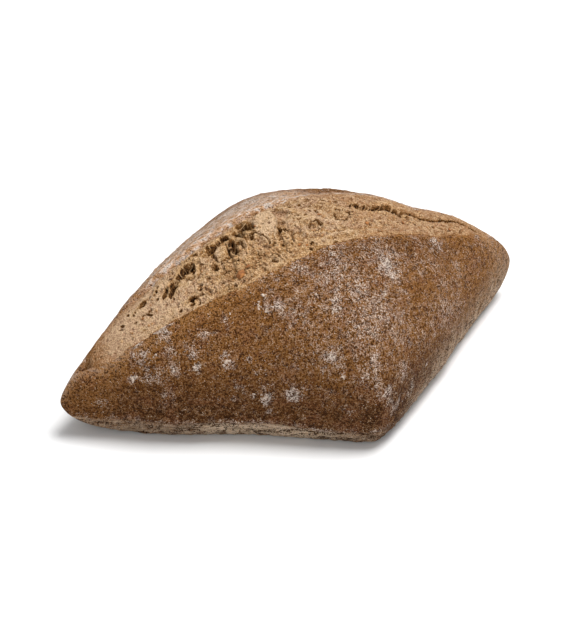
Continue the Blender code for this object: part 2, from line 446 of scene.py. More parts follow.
def line_distance(x: Array, y: Array, line: Line) -> tuple[Array, Array]:
    """Distance of each place from a line of straight stretches.

    Args:
        x: Places along the roll.
        y: Places across it.
        line: The line's corners.

    Returns:
        The shortest distance to any stretch, and 1 where the place lies left of that stretch as one
        walks along it, -1 where it lies right of it.
    """
    nearest = np.full(x.shape, 1e3)
    side = np.ones(x.shape)
    for (x0, y0), (x1, y1) in zip(line, line[1:]):
        dx, dy = x1 - x0, y1 - y0
        share = np.clip(((x - x0) * dx + (y - y0) * dy) / (dx * dx + dy * dy), 0, 1)
        gap = np.hypot(x - x0 - share * dx, y - y0 - share * dy)
        side = np.where(gap < nearest, np.sign((y - y0) * dx - (x - x0) * dy), side)
        nearest = np.minimum(nearest, gap)
    return nearest, side


@dataclass(frozen=True)
class Oval:
    """A turned oval place on the crumb."""

    x: float
    y: float
    length: float
    width: float
    turn: float

    def place(self, x: Array, y: Array) -> tuple[Array, Array]:
        """Where places lie in the oval.

        Args:
            x: Places along the roll.
            y: Places across it.

        Returns:
            The distance from the middle in radii, and how far back each place lies in radii.
        """
        angle = math.radians(self.turn)
        dx, dy = x - self.x, y - self.y
        u = (dx * math.cos(angle) + dy * math.sin(angle)) / (self.length / 2)
        v = (dy * math.cos(angle) - dx * math.sin(angle)) / (self.width / 2)
        return np.hypot(u, v), v


@dataclass(frozen=True)
class Ragged:
    """How ragged the crumb is at each place: an edge's shift outwards, and walls left standing."""

    edge: Array
    walls: Array


@dataclass(frozen=True)
class Cave(Oval):
    """A burst bubble: a pit with a ragged mouth.

    Its floor slopes down to the back, where its wall is steep and, with lean, overhangs.
    """

    depth: float
    lean: float = 0.0
    wall: float = 0.5
    ragged: float = 0.75

    def carve(self, x: Array, y: Array, ragged: Ragged) -> tuple[Array, Array]:
        """The depth at each place, and the shade painted there.

        A place lies (1 - radii) * half width inside the mouth, plus the ragged edge's own shift.
        The depth grows from the mouth over the wall, and from the front of the pit to its back,
        which also gets the deepest painted shade. A thin painted highlight runs round the mouth.

        Args:
            x: Places along the roll.
            y: Places across it.
            ragged: The raggedness there, which fades towards the steep back.

        Returns:
            The depth, and the painted shade from 0 to 1, below 0 for the painted highlight on the rim.
        """
        radii, back = self.place(x, y)
        small = min(self.width, self.length) / 2
        shift = ragged.edge * (1 - 0.3 * smooth(back, 0.0, 0.6))
        shift = shift - ragged.walls * (1 - smooth(back, -0.2, 0.5))
        inside = (1 - radii) * small + self.ragged * min(1, small) * shift
        back = smooth(back, -1.1, 0.7)
        depth = self.depth * smooth(inside, 0, self.wall) * (0.4 + 0.6 * back)
        strength = smooth(np.array(self.depth), 0.9, 2.6)
        # Painted shade, deepest at the back under the overhang; the rim below 0 is a painted
        # highlight.
        dark = smooth(inside, -0.40, 0.40) * (0.22 + 0.70 * back)
        rim = hump(inside, -0.60, 0.18)
        return depth, strength * np.where(dark > 0.3 * rim, dark, -rim)


@dataclass(frozen=True)
class Crack:
    """A tear along a line.

    Its side on the right hand of the line slopes down to it over its width. The other side stands
    steep, and with lean it hangs over.
    """

    line: Line
    width: float
    depth: float
    lean: float = 0.0
    ragged: float = 0.5

    def carve(self, x: Array, y: Array, ragged: Ragged) -> tuple[Array, Array]:
        """The depth at each place, and the shade painted there.

        The depth is depth * exp(-(distance / width) ** 2), and far steeper on the left hand.

        Args:
            x: Places along the roll.
            y: Places across it.
            ragged: The raggedness there, of which a crack takes the edge's shift alone.

        Returns:
            The depth, and the painted shade from 0 to 1.
        """
        gap, side = line_distance(x, y, self.line)
        steep = side > 0
        gap = np.maximum(gap - self.ragged * min(1, self.width) * ragged.edge, 0)
        reach = np.where(steep, 0.2, 1.0) * self.width
        # Painted shade in the crack, wider on its steep side.
        strength = smooth(np.array(self.depth), 0.4, 1.6)
        shade = hump(gap, 0, np.where(steep, 0.25 + reach, 0.8 * reach))
        return self.depth * hump(gap, 0, reach), 0.8 * strength * smooth(shade, 0.3, 0.8)


@dataclass(frozen=True)
class Mound(Oval):
    """A smooth lump of crumb with a clear edge."""

    height: float

    def lift(self, x: Array, y: Array) -> Array:
        """The height at each place, level on top."""
        return self.height * smooth(1 - self.place(x, y)[0], -0.05, 0.45)


@dataclass(frozen=True)
class Fibre:
    """A raised thread of crumb along a line."""

    line: Line
    width: float
    height: float


# Paint, meshes and node sheets -------------------------------------------------------------


def show(name: str, data: bpy.types.ID) -> bpy.types.Object:
    """A new object in the scene for a mesh, a light or a camera."""
    thing = bpy.data.objects.new(name, data)
    bpy.context.scene.collection.objects.link(thing)
    return thing


def make_piece(
    name: str,
    points: Array,
    faces: list[Array],
    values: dict[Patch, Array],
    material: bpy.types.Material,
) -> bpy.types.Object:
    """Makes a mesh piece, smooth shaded, which rides on the roll's body.

    Args:
        name: The piece's name.
        points: Vertices in millimetres, one a row.
        faces: Arrays of faces, each array with one length of face.
        values: Vertex values that the material reads.
        material: Its finish.

    Returns:
        The new object, at the origin.
    """
    mesh = bpy.data.meshes.new(name)
    loops = np.concatenate([block.ravel() for block in faces])
    lengths = np.concatenate([np.full(len(block), block.shape[1]) for block in faces])
    starts = np.concatenate([[0], np.cumsum(lengths)[:-1]])
    mesh.vertices.add(len(points))
    mesh.vertices.foreach_set("co", (points * MM).astype(np.float32).ravel())
    mesh.loops.add(len(loops))
    mesh.loops.foreach_set("vertex_index", loops.astype(np.int32))
    mesh.polygons.add(len(lengths))
    mesh.polygons.foreach_set("loop_start", starts.astype(np.int32))
    mesh.update(calc_edges=True)
    mesh.validate()
    mesh.shade_smooth()
    for patch, value in values.items():
        layer = mesh.attributes.new(patch.value, "FLOAT", "POINT")
        layer.data.foreach_set("value", value.astype(np.float32).ravel())
    mesh.materials.append(material)
    piece = show(name, mesh)
    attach(piece, "root")
    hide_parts("bread_roll")
    LOG.info("%s: %d vertices, %d faces", name, len(points), len(lengths))
    return piece


def tube_faces(columns: int, rows: int) -> list[Array]:
    """Faces of a grid that closes on itself across, with a pole vertex at each end.

    The grid's vertices come first, column by column, then the first pole and the last one.

    Args:
        columns: How many places along.
        rows: How many vertices round each.

    Returns:
        The quads and the triangles.
    """
    here = np.arange(columns * rows).reshape(columns, rows)
    beside = np.roll(here, -1, axis=1)
    quads = np.stack([here[:-1], here[1:], beside[1:], beside[:-1]], axis=-1).reshape(-1, 4)
    first, last = columns * rows, columns * rows + 1
    start = np.stack([np.full(rows, first), here[0], beside[0]], axis=-1)
    end = np.stack([np.full(rows, last), beside[-1], here[-1]], axis=-1)
    return [quads, np.concatenate([start, end])]


class NodeSheet:
    """Places and links shader nodes in one tree."""

    def __init__(self, tree: bpy.types.NodeTree) -> None:
        """Takes the tree to work in."""
        self.tree = tree

    def add(self, kind: str, **settings: object) -> bpy.types.Node:
        """A new node with its settings."""
        node = self.tree.nodes.new(kind)
        for name, value in settings.items():
            setattr(node, name, value)
        return node

    def feed(self, socket: bpy.types.NodeSocket, source: object) -> None:
        """Sets a socket to a number or colour, or links it to another socket."""
        if isinstance(source, bpy.types.NodeSocket):
            self.tree.links.new(source, socket)
        else:
            socket.default_value = source

    def value(self, patch: Patch) -> bpy.types.NodeSocket:
        """A vertex value of the mesh."""
        return self.add("ShaderNodeAttribute", attribute_name=patch.value).outputs["Fac"]

    def math(self, operation: str, *sources: object, clamp: bool = False) -> bpy.types.NodeSocket:
        """One step of arithmetic."""
        node = self.add("ShaderNodeMath", operation=operation, use_clamp=clamp)
        for socket, source in zip(node.inputs, sources):
            self.feed(socket, source)
        return node.outputs[0]

    def total(self, *terms: tuple[object, float]) -> bpy.types.NodeSocket:
        """The sum of sockets, each times its own factor."""
        result: object = 0.0
        for source, factor in terms:
            result = self.math("MULTIPLY_ADD", source, factor, result)
        return result

    def step(self, source: object, low: float, high: float) -> bpy.types.NodeSocket:
        """A soft step from 0 at low to 1 at high."""
        node = self.add("ShaderNodeMapRange", interpolation_type="SMOOTHSTEP")
        for name, setting in (("Value", source), ("From Min", low), ("From Max", high)):
            self.feed(node.inputs[name], setting)
        return node.outputs["Result"]

    def noise(self, place: object, size: float, detail: float = 3.0) -> bpy.types.NodeSocket:
        """Fractal noise whose largest lumps have this size in millimetres, -1 to 1 round 0."""
        node = self.add("ShaderNodeTexNoise")
        self.feed(node.inputs["Vector"], place)
        self.feed(node.inputs["Scale"], 1 / (size * MM))
        self.feed(node.inputs["Detail"], detail)
        self.feed(node.inputs["Roughness"], 0.62)
        return self.math("MULTIPLY_ADD", node.outputs["Fac"], 6.0, -3.0)

    def mix(self, factor: object, low: object, high: object) -> bpy.types.NodeSocket:
        """Two colours mixed by a factor."""
        node = self.add("ShaderNodeMix", data_type="RGBA")
        self.feed(node.inputs["Factor"], factor)
        for socket, source in ((node.inputs[6], low), (node.inputs[7], high)):
            self.feed(socket, (*source, 1.0) if isinstance(source, tuple) else source)
        return node.outputs[2]

    def paint(
        self, under: object, coat: object, mask: object, share: object
    ) -> bpy.types.NodeSocket:
        """A coat of colour over another, as thick as its mask times its share."""
        return self.mix(self.math("MULTIPLY", mask, share), under, coat)

    def ramp(self, source: object, stops: tuple[tuple[float, Colour], ...]) -> object:
        """A colour for each level of a value."""
        node = self.add("ShaderNodeValToRGB")
        self.feed(node.inputs["Fac"], source)
        band = node.color_ramp
        while len(band.elements) < len(stops):
            band.elements.new(0.5)
        for element, (place, colour) in zip(band.elements, stops):
            element.position = place
            element.color = (*colour, 1.0)
        return node.outputs["Color"]

    def bump(self, shader: bpy.types.Node, height: object, strength: float, reach: float) -> None:
        """Bumps a shader's surface by a height of this reach in millimetres."""
        node = self.add("ShaderNodeBump")
        self.feed(node.inputs["Strength"], strength)
        self.feed(node.inputs["Distance"], reach * MM)
        self.feed(node.inputs["Height"], height)
        self.feed(shader.inputs["Normal"], node.outputs["Normal"])

    def surface(
        self, shader: bpy.types.Node, colour: object, roughness: float, shine: float = 0.5
    ) -> None:
        """Sets a shader's colour, roughness and shine."""
        self.feed(shader.inputs["Base Color"], colour)
        self.feed(shader.inputs["Roughness"], roughness)
        self.feed(shader.inputs["Specular IOR Level"], shine)


def new_material(name: str) -> tuple[bpy.types.Material, NodeSheet, bpy.types.Node]:
    """A material with its node sheet and its Principled shader."""
    material = bpy.data.materials.new(name)
    material.use_nodes = True
    sheet = NodeSheet(material.node_tree)
    return material, sheet, material.node_tree.nodes["Principled BSDF"]


def grain_group() -> bpy.types.ShaderNodeTree:
    """Bread's fine grain, for every finish: mottle, curled lines, sharp specks and thin creases.

    Returns:
        The group. Size is the coarse mottle's size in millimetres, and Share is the share of
        specks that show. Coarse, Fine and Curls run from about -1 to 1 round 0. Curls, the sine
        of a noise, winds in thin light and dark lines. Specks and Creases are masks from 0 to 1,
        and Height is for a Bump node.
    """
    found = bpy.data.node_groups.get("bread_grain")
    if found:
        return found
    group = bpy.data.node_groups.new("bread_grain", "ShaderNodeTree")
    face = group.interface
    face.new_socket("Place", in_out="INPUT", socket_type="NodeSocketVector")
    face.new_socket("Size", in_out="INPUT", socket_type="NodeSocketFloat").default_value = 1.0
    face.new_socket("Share", in_out="INPUT", socket_type="NodeSocketFloat").default_value = 0.2
    for name in ("Coarse", "Fine", "Curls", "Specks", "Creases", "Height"):
        face.new_socket(name, in_out="OUTPUT", socket_type="NodeSocketFloat")
    sheet = NodeSheet(group)
    given = sheet.add("NodeGroupInput").outputs
    result = sheet.add("NodeGroupOutput").inputs
    scale = sheet.math("DIVIDE", 1 / MM, given["Size"])
    coarse = sheet.add("ShaderNodeTexNoise")
    fine = sheet.add("ShaderNodeTexNoise")
    curls = sheet.add("ShaderNodeTexNoise", noise_dimensions="4D")
    dots = sheet.add("ShaderNodeTexVoronoi")
    plates = sheet.add("ShaderNodeTexVoronoi", feature="DISTANCE_TO_EDGE")
    places = ((coarse, 1.0), (fine, 1.5), (curls, 0.50), (dots, 1.5), (plates, 0.25))
    for node, factor in places:
        sheet.feed(node.inputs["Vector"], given["Place"])
        sheet.feed(node.inputs["Scale"], sheet.math("MULTIPLY", scale, factor))
    for node in (coarse, fine, curls):
        sheet.feed(node.inputs["Detail"], 1.0)
    drift = sheet.add("ShaderNodeVectorMath", operation="MULTIPLY_ADD")
    sheet.feed(drift.inputs[0], coarse.outputs["Color"])
    sheet.feed(drift.inputs[1], (0.0012, 0.0012, 0.0012))
    sheet.feed(drift.inputs[2], given["Place"])
    sheet.feed(plates.inputs["Vector"], drift.outputs[0])
    large = sheet.math("MULTIPLY_ADD", coarse.outputs["Fac"], 5.0, -2.5)
    small = sheet.math("MULTIPLY_ADD", fine.outputs["Fac"], 5.0, -2.5)
    wound = sheet.math("SINE", sheet.math("MULTIPLY", curls.outputs["Fac"], 18.0))
    chosen = sheet.math("LESS_THAN", dots.outputs["Color"], given["Share"])
    blur = sheet.math("MULTIPLY_ADD", small, 0.12, dots.outputs["Distance"])
    dot = sheet.step(blur, 0.48, 0.30)
    crease = sheet.step(plates.outputs["Distance"], 0.05, 0.01)
    sheet.feed(result["Coarse"], large)
    sheet.feed(result["Fine"], small)
    sheet.feed(result["Curls"], wound)
    sheet.feed(result["Specks"], sheet.math("MULTIPLY", dot, chosen))
    sheet.feed(result["Creases"], sheet.math("MULTIPLY", crease, sheet.step(large, -0.4, 0.5)))
    sheet.feed(result["Height"], sheet.total((large, 0.9), (small, 0.7), (wound, 0.5)))
    return group


def add_grain(sheet: NodeSheet, size: float, share: object) -> Outputs:
    """Places the grain group on object coordinates, with its own values."""
    node = sheet.add("ShaderNodeGroup", node_tree=grain_group())
    sheet.feed(node.inputs["Place"], sheet.add("ShaderNodeTexCoord").outputs["Object"])
    sheet.feed(node.inputs["Size"], size)
    sheet.feed(node.inputs["Share"], share)
    return node.outputs


# Finishes ----------------------------------------------------------------------------------


@dataclass(frozen=True)
class CrustFinish:
    """Baked crust: golden at the lips, dark brown low down in front by browning and painted shade,
    pale at the foot, floured, with painted shade in its hollows.
    """

    golden: Colour = (0.345, 0.152, 0.042)
    brown: Colour = (0.225, 0.088, 0.020)
    # The dark end of these browns is reached low down in front, where it is partly painted shade.
    dark: Colour = (0.130, 0.046, 0.010)
    darkest: Colour = (0.070, 0.023, 0.005)
    reddish: Colour = (0.220, 0.084, 0.036)
    band: Colour = (0.70, 0.54, 0.390)
    # Dark streaks in the band, with painted shade in its hollows.
    streak_and_groove_shade: Colour = (0.13, 0.072, 0.036)
    torn: Colour = (0.72, 0.480, 0.330)
    stretched: Colour = (0.46, 0.250, 0.115)
    film: Colour = (0.375, 0.288, 0.250)
    honey: Colour = (0.48, 0.275, 0.130)
    curl: Colour = (0.60, 0.420, 0.295)
    flour: Colour = (0.80, 0.69, 0.60)
    # Painted shade, laid where the grain and the hollows lie lowest.
    crevice_shade: Colour = (0.034, 0.012, 0.003)
    roughness: float = 0.78

    def material(self) -> bpy.types.Material:
        """Builds the material: the baked crust, its bare and pale parts, and the flour on top, with
        painted shade in hollows and crevices and painted light on rises.

        Returns:
            A material that reads all the crust's values.
        """
        material, sheet, shader = new_material("floured_crust")
        flour, bare = sheet.value(Patch.FLOUR), sheet.value(Patch.TORN)
        clump = add_grain(sheet, 1.6, 0.3)
        share = sheet.total((flour, 0.45), (clump["Coarse"], 0.08), (0.04, 1.0))
        grain = add_grain(sheet, 0.36, share)
        colour = self.baked(sheet, clump, grain)
        colour = self.stretched_parts(sheet, colour, clump, grain)

        cover = sheet.total((flour, 2.3), (grain["Coarse"], 0.35), (clump["Coarse"], 0.55))
        film = sheet.math("MULTIPLY", sheet.step(cover, 0.3, 1.9), 0.45)
        film = sheet.math("MULTIPLY", film, sheet.math("SUBTRACT", 1.0, bare))
        colour = sheet.mix(film, colour, self.film)
        wave = sheet.total((grain["Coarse"], 0.4), (grain["Fine"], 0.5), (grain["Curls"], 0.5))
        # The hollows' depth lowers the wave: painted shade in the hollows, painted light on the rises.
        wave = sheet.math("MULTIPLY_ADD", sheet.value(Patch.HOLLOW_SHADE), -0.5, wave)
        wave = sheet.math("MULTIPLY", wave, sheet.math("MULTIPLY_ADD", bare, -0.5, 1.0))
        dusty = sheet.step(sheet.total((flour, 1.0), (clump["Coarse"], 0.12)), 0.0, 0.45)
        # Honey and curl on the wave's high parts: grain, and painted light on the rises.
        light = sheet.math("MULTIPLY_ADD", dusty, 0.28, 0.42)
        light = sheet.math("MULTIPLY", sheet.step(wave, 0.1, 0.75), light)
        colour = sheet.mix(light, colour, sheet.mix(dusty, self.honey, self.curl))
        thick = sheet.step(flour, 0.05, 0.8)
        crackle = sheet.step(sheet.total((thick, 1.0), (wave, 1.0)), 0.95, 1.45)
        colour = sheet.paint(colour, self.flour, crackle, 0.85)
        # Painted shade in the crevices and hollows.
        colour = sheet.paint(colour, self.crevice_shade, sheet.step(wave, -0.05, -0.65), 0.92)
        dots = sheet.mix(dusty, self.curl, self.flour)
        colour = sheet.paint(colour, dots, grain["Specks"], 0.8)

        sheet.surface(shader, colour, self.roughness, 0.06)
        height = sheet.total((grain["Height"], 0.7), (clump["Fine"], 0.5), (clump["Creases"], -1.2))
        sheet.bump(shader, height, 1.0, 0.24)
        return material

    def baked(self, sheet: NodeSheet, clump: Outputs, grain: Outputs) -> bpy.types.NodeSocket:
        """The bare crust's colour, from golden to dark brown as it is baked, darker still low down in
        front by painted shade, reddish in places.

        Args:
            sheet: The material's nodes.
            clump: The coarse grain.
            grain: The fine grain.

        Returns:
            The colour.
        """
        place = sheet.add("ShaderNodeTexCoord").outputs["Object"]
        level = sheet.total(
            (sheet.value(Patch.BAKE), 1.0), (sheet.noise(place, 7.0), 0.06), (clump["Coarse"], 0.07)
        )
        level = sheet.total((level, 1.0), (grain["Coarse"], 0.12), (clump["Creases"], 0.22))
        stops = ((0.0, self.golden), (0.36, self.brown), (0.72, self.dark), (1.0, self.darkest))
        warm = sheet.step(sheet.noise(place, 5.0, 2.0), -0.1, 1.0)
        return sheet.paint(sheet.ramp(level, stops), self.reddish, warm, 0.45)

    def stretched_parts(
        self, sheet: NodeSheet, colour: object, clump: Outputs, grain: Outputs
    ) -> bpy.types.NodeSocket:
        """Adds the pale band at the foot and the torn flap, both streaked along the roll.

        Args:
            sheet: The material's nodes.
            colour: The bare crust's colour.
            clump: The coarse grain.
            grain: The fine grain.

        Returns:
            The colour with both.
        """
        streak = sheet.add("ShaderNodeCombineXYZ")
        sheet.feed(streak.inputs["X"], sheet.math("MULTIPLY", sheet.value(Patch.ALONG), 0.18))
        sheet.feed(streak.inputs["Z"], sheet.value(Patch.ACROSS))
        lines = sheet.noise(streak.outputs["Vector"], 0.45, 2.0)
        shade = sheet.total((lines, 0.90), (grain["Coarse"], 0.35), (grain["Fine"], 0.50))
        # The hollows' depth darkens the band towards its dark streaks: painted shade.
        shade = sheet.total((shade, 1.0), (clump["Coarse"], 0.20), (sheet.value(Patch.HOLLOW_SHADE), -0.45))
        band = sheet.mix(sheet.step(shade, -1.0, 0.5), self.streak_and_groove_shade, self.band)
        colour = sheet.mix(sheet.value(Patch.BAND), colour, band)
        shade = sheet.total((lines, 1.6), (grain["Coarse"], 0.25), (grain["Fine"], 0.45))
        torn = sheet.mix(sheet.step(shade, -1.0, 0.1), self.stretched, self.torn)
        white = sheet.total((shade, 1.0), (sheet.value(Patch.FLOUR), 0.5))
        torn = sheet.paint(torn, self.flour, sheet.step(white, 0.25, 0.80), 0.9)
        return sheet.mix(sheet.value(Patch.TORN), colour, torn)


@dataclass(frozen=True)
class CrumbFinish:
    """Torn crumb: tan, toasted at its lips, with painted shade in its holes and hollows and painted
    highlight, gold where toasted, on its ridges and rims; flecked with bran.
    """

    tan: Colour = (0.49, 0.290, 0.135)
    rosy: Colour = (0.52, 0.316, 0.192)
    # Light and honey also serve as painted highlight on rises and rims.
    light: Colour = (0.77, 0.540, 0.335)
    honey: Colour = (0.78, 0.500, 0.260)
    # Toasted colour, also the painted shade round the caves and beside the fibres.
    toast_and_shade: Colour = (0.37, 0.180, 0.050)
    # Darker mottle, and painted shade in the hollows.
    mottle_and_hollow_shade: Colour = (0.225, 0.108, 0.042)
    # Painted shade in the shallower parts of caves, cracks and holes.
    recess_shade: Colour = (0.215, 0.095, 0.028)
    # Painted shade in the deepest parts of the caves and cracks.
    hole: Colour = (0.030, 0.014, 0.008)
    bran: Colour = (0.085, 0.038, 0.020)
    crust: Colour = (0.40, 0.200, 0.090)
    baked: Colour = (0.25, 0.105, 0.030)
    roughness: float = 0.85

    def material(self) -> bpy.types.Material:
        """Builds the material: the crumb's ground colour, its grain, the painted highlight on its
        rises and rims, and the painted shade in its hollows and holes.

        Returns:
            A material that reads all the crumb's values.
        """
        material, sheet, shader = new_material("torn_crumb")
        place = sheet.add("ShaderNodeTexCoord").outputs["Object"]
        grain = add_grain(sheet, 0.36, 0.16)
        lump = add_grain(sheet, 1.2, 0.10)
        split = sheet.add("ShaderNodeSeparateXYZ")
        sheet.feed(split.inputs["Vector"], place)
        left = sheet.step(split.outputs["X"], -25 * MM, -45 * MM)

        tint = sheet.total((sheet.noise(place, 5.0), 1.0), (left, -0.6))
        colour = sheet.mix(sheet.step(tint, -0.5, 0.5), self.rosy, self.tan)
        golden = sheet.total(
            (sheet.value(Patch.TOAST_AND_SHADE), 1.0), (sheet.noise(place, 1.7), 0.25), (lump["Coarse"], 0.1)
        )
        golden = sheet.math("MULTIPLY", sheet.step(golden, 0.15, 1.0), 0.85)
        colour = sheet.mix(golden, colour, self.toast_and_shade)
        skin = sheet.total((sheet.value(Patch.SKIN), 1.0), (lump["Coarse"], 0.2))
        crust, baked = sheet.step(skin, 0.1, 0.9), sheet.step(skin, 0.9, 2.0)
        colour = sheet.mix(baked, sheet.mix(crust, colour, self.crust), self.baked)

        bold = sheet.total((crust, -0.35), (left, -0.15), (baked, -0.2), (1.0, 0.97))
        # Height is painted: light on the rises, shade in the hollows, over the grain's mottle.
        height = sheet.value(Patch.HEIGHT)
        wave = sheet.total((grain["Coarse"], 0.45), (grain["Curls"], 0.40), (lump["Coarse"], 0.15))
        wave = sheet.total((wave, 1.0), (grain["Fine"], 0.55))
        light = sheet.mix(golden, self.light, self.honey)
        high = sheet.step(sheet.total((wave, 1.0), (height, 0.8), (left, 0.25)), 0.1, 0.85)
        colour = sheet.paint(colour, light, high, bold)
        low = sheet.step(sheet.total((wave, -1.1), (height, -1.2), (left, -0.25)), 0.15, 0.95)
        colour = sheet.paint(colour, self.mottle_and_hollow_shade, low, bold)
        colour = sheet.paint(colour, self.light, grain["Specks"], 0.6)

        # Painted shade from here on: ochre and then near black in the caves, cracks and holes.
        shade = sheet.value(Patch.SHADE)
        # Painted highlight on the rims of holes and the fibres' crests, where shade is below 0.
        colour = sheet.paint(colour, light, sheet.step(shade, -0.1, -0.7), 0.6)
        mottle = sheet.total(
            (grain["Coarse"], -0.36), (grain["Fine"], -0.26), (lump["Coarse"], -0.40)
        )
        dark = sheet.math("MULTIPLY", shade, sheet.math("ADD", mottle, 1.0))
        colour = sheet.mix(sheet.step(dark, 0.06, 0.45), colour, self.recess_shade)
        colour = sheet.mix(sheet.step(dark, 0.48, 1.05), colour, self.hole)
        colour = sheet.paint(colour, self.bran, lump["Specks"], 0.35)
        sheet.surface(shader, colour, self.roughness, 0.04)
        sheet.bump(shader, grain["Height"], 1.0, 0.18)
        return material


@dataclass(frozen=True)
class DryFinish:
    """A small dry thing: flour, a bran flake or a loose bit of crumb, mottled in two colours."""

    name: str
    light: Colour
    deep: Colour
    lump: float = 0.4
    roughness: float = 0.9

    def material(self) -> bpy.types.Material:
        """Builds the material."""
        material, sheet, shader = new_material(self.name)
        grain = add_grain(sheet, self.lump, 0.1)
        colour = sheet.mix(sheet.step(grain["Coarse"], -0.7, 0.7), self.deep, self.light)
        sheet.surface(shader, colour, self.roughness)
        sheet.bump(shader, grain["Height"], 0.5, 0.03)
        return material


# The crust ---------------------------------------------------------------------------------


@dataclass(frozen=True)
class FlourPatch:
    """A soft round patch of flour: its x, its angle up the dome in degrees, reach, thickness."""

    x: float
    angle: float
    reach: float
    thickness: float


@dataclass(frozen=True)
class Blister:
    """A small burst blister: a dark spot in a pale raised ring."""

    x: float
    angle: float
    radius: float


@dataclass
class Ground:
    """The smooth crust under its relief, with what the relief and the colours go by.

    Gap is the distance out from the nearer lip, height the height over the roll's edge, across a
    measure round the roll for streaks, and flap is 1 on the torn flap behind the slash.
    """

    section: Section
    base: Array
    sunk: Array
    widest_level: float
    x: Array = field(init=False)
    y: Array = field(init=False)
    z: Array = field(init=False)
    front: Array = field(init=False)
    height: Array = field(init=False)
    gap: Array = field(init=False)
    across: Array = field(init=False)
    flap: Array = field(init=False)

    def __post_init__(self) -> None:
        """Works the measures out from the places."""
        self.x, self.y, self.z = np.moveaxis(self.base, -1, 0)
        self.front = self.y < 0
        self.height = self.z - self.section.floor
        behind = self.y - self.section.back_lip
        gap = np.maximum(np.maximum(self.section.front_lip - self.y, behind), 0)
        self.gap = np.where(self.z > self.widest_level, gap, 99.0)
        upright = self.front | (self.z < self.widest_level)
        self.across = np.where(upright, self.z, np.clip(behind, -8, 40))
        self.flap = ~self.front * smooth(self.x, -62, -50) * (1 - smooth(self.x, 8, 18))


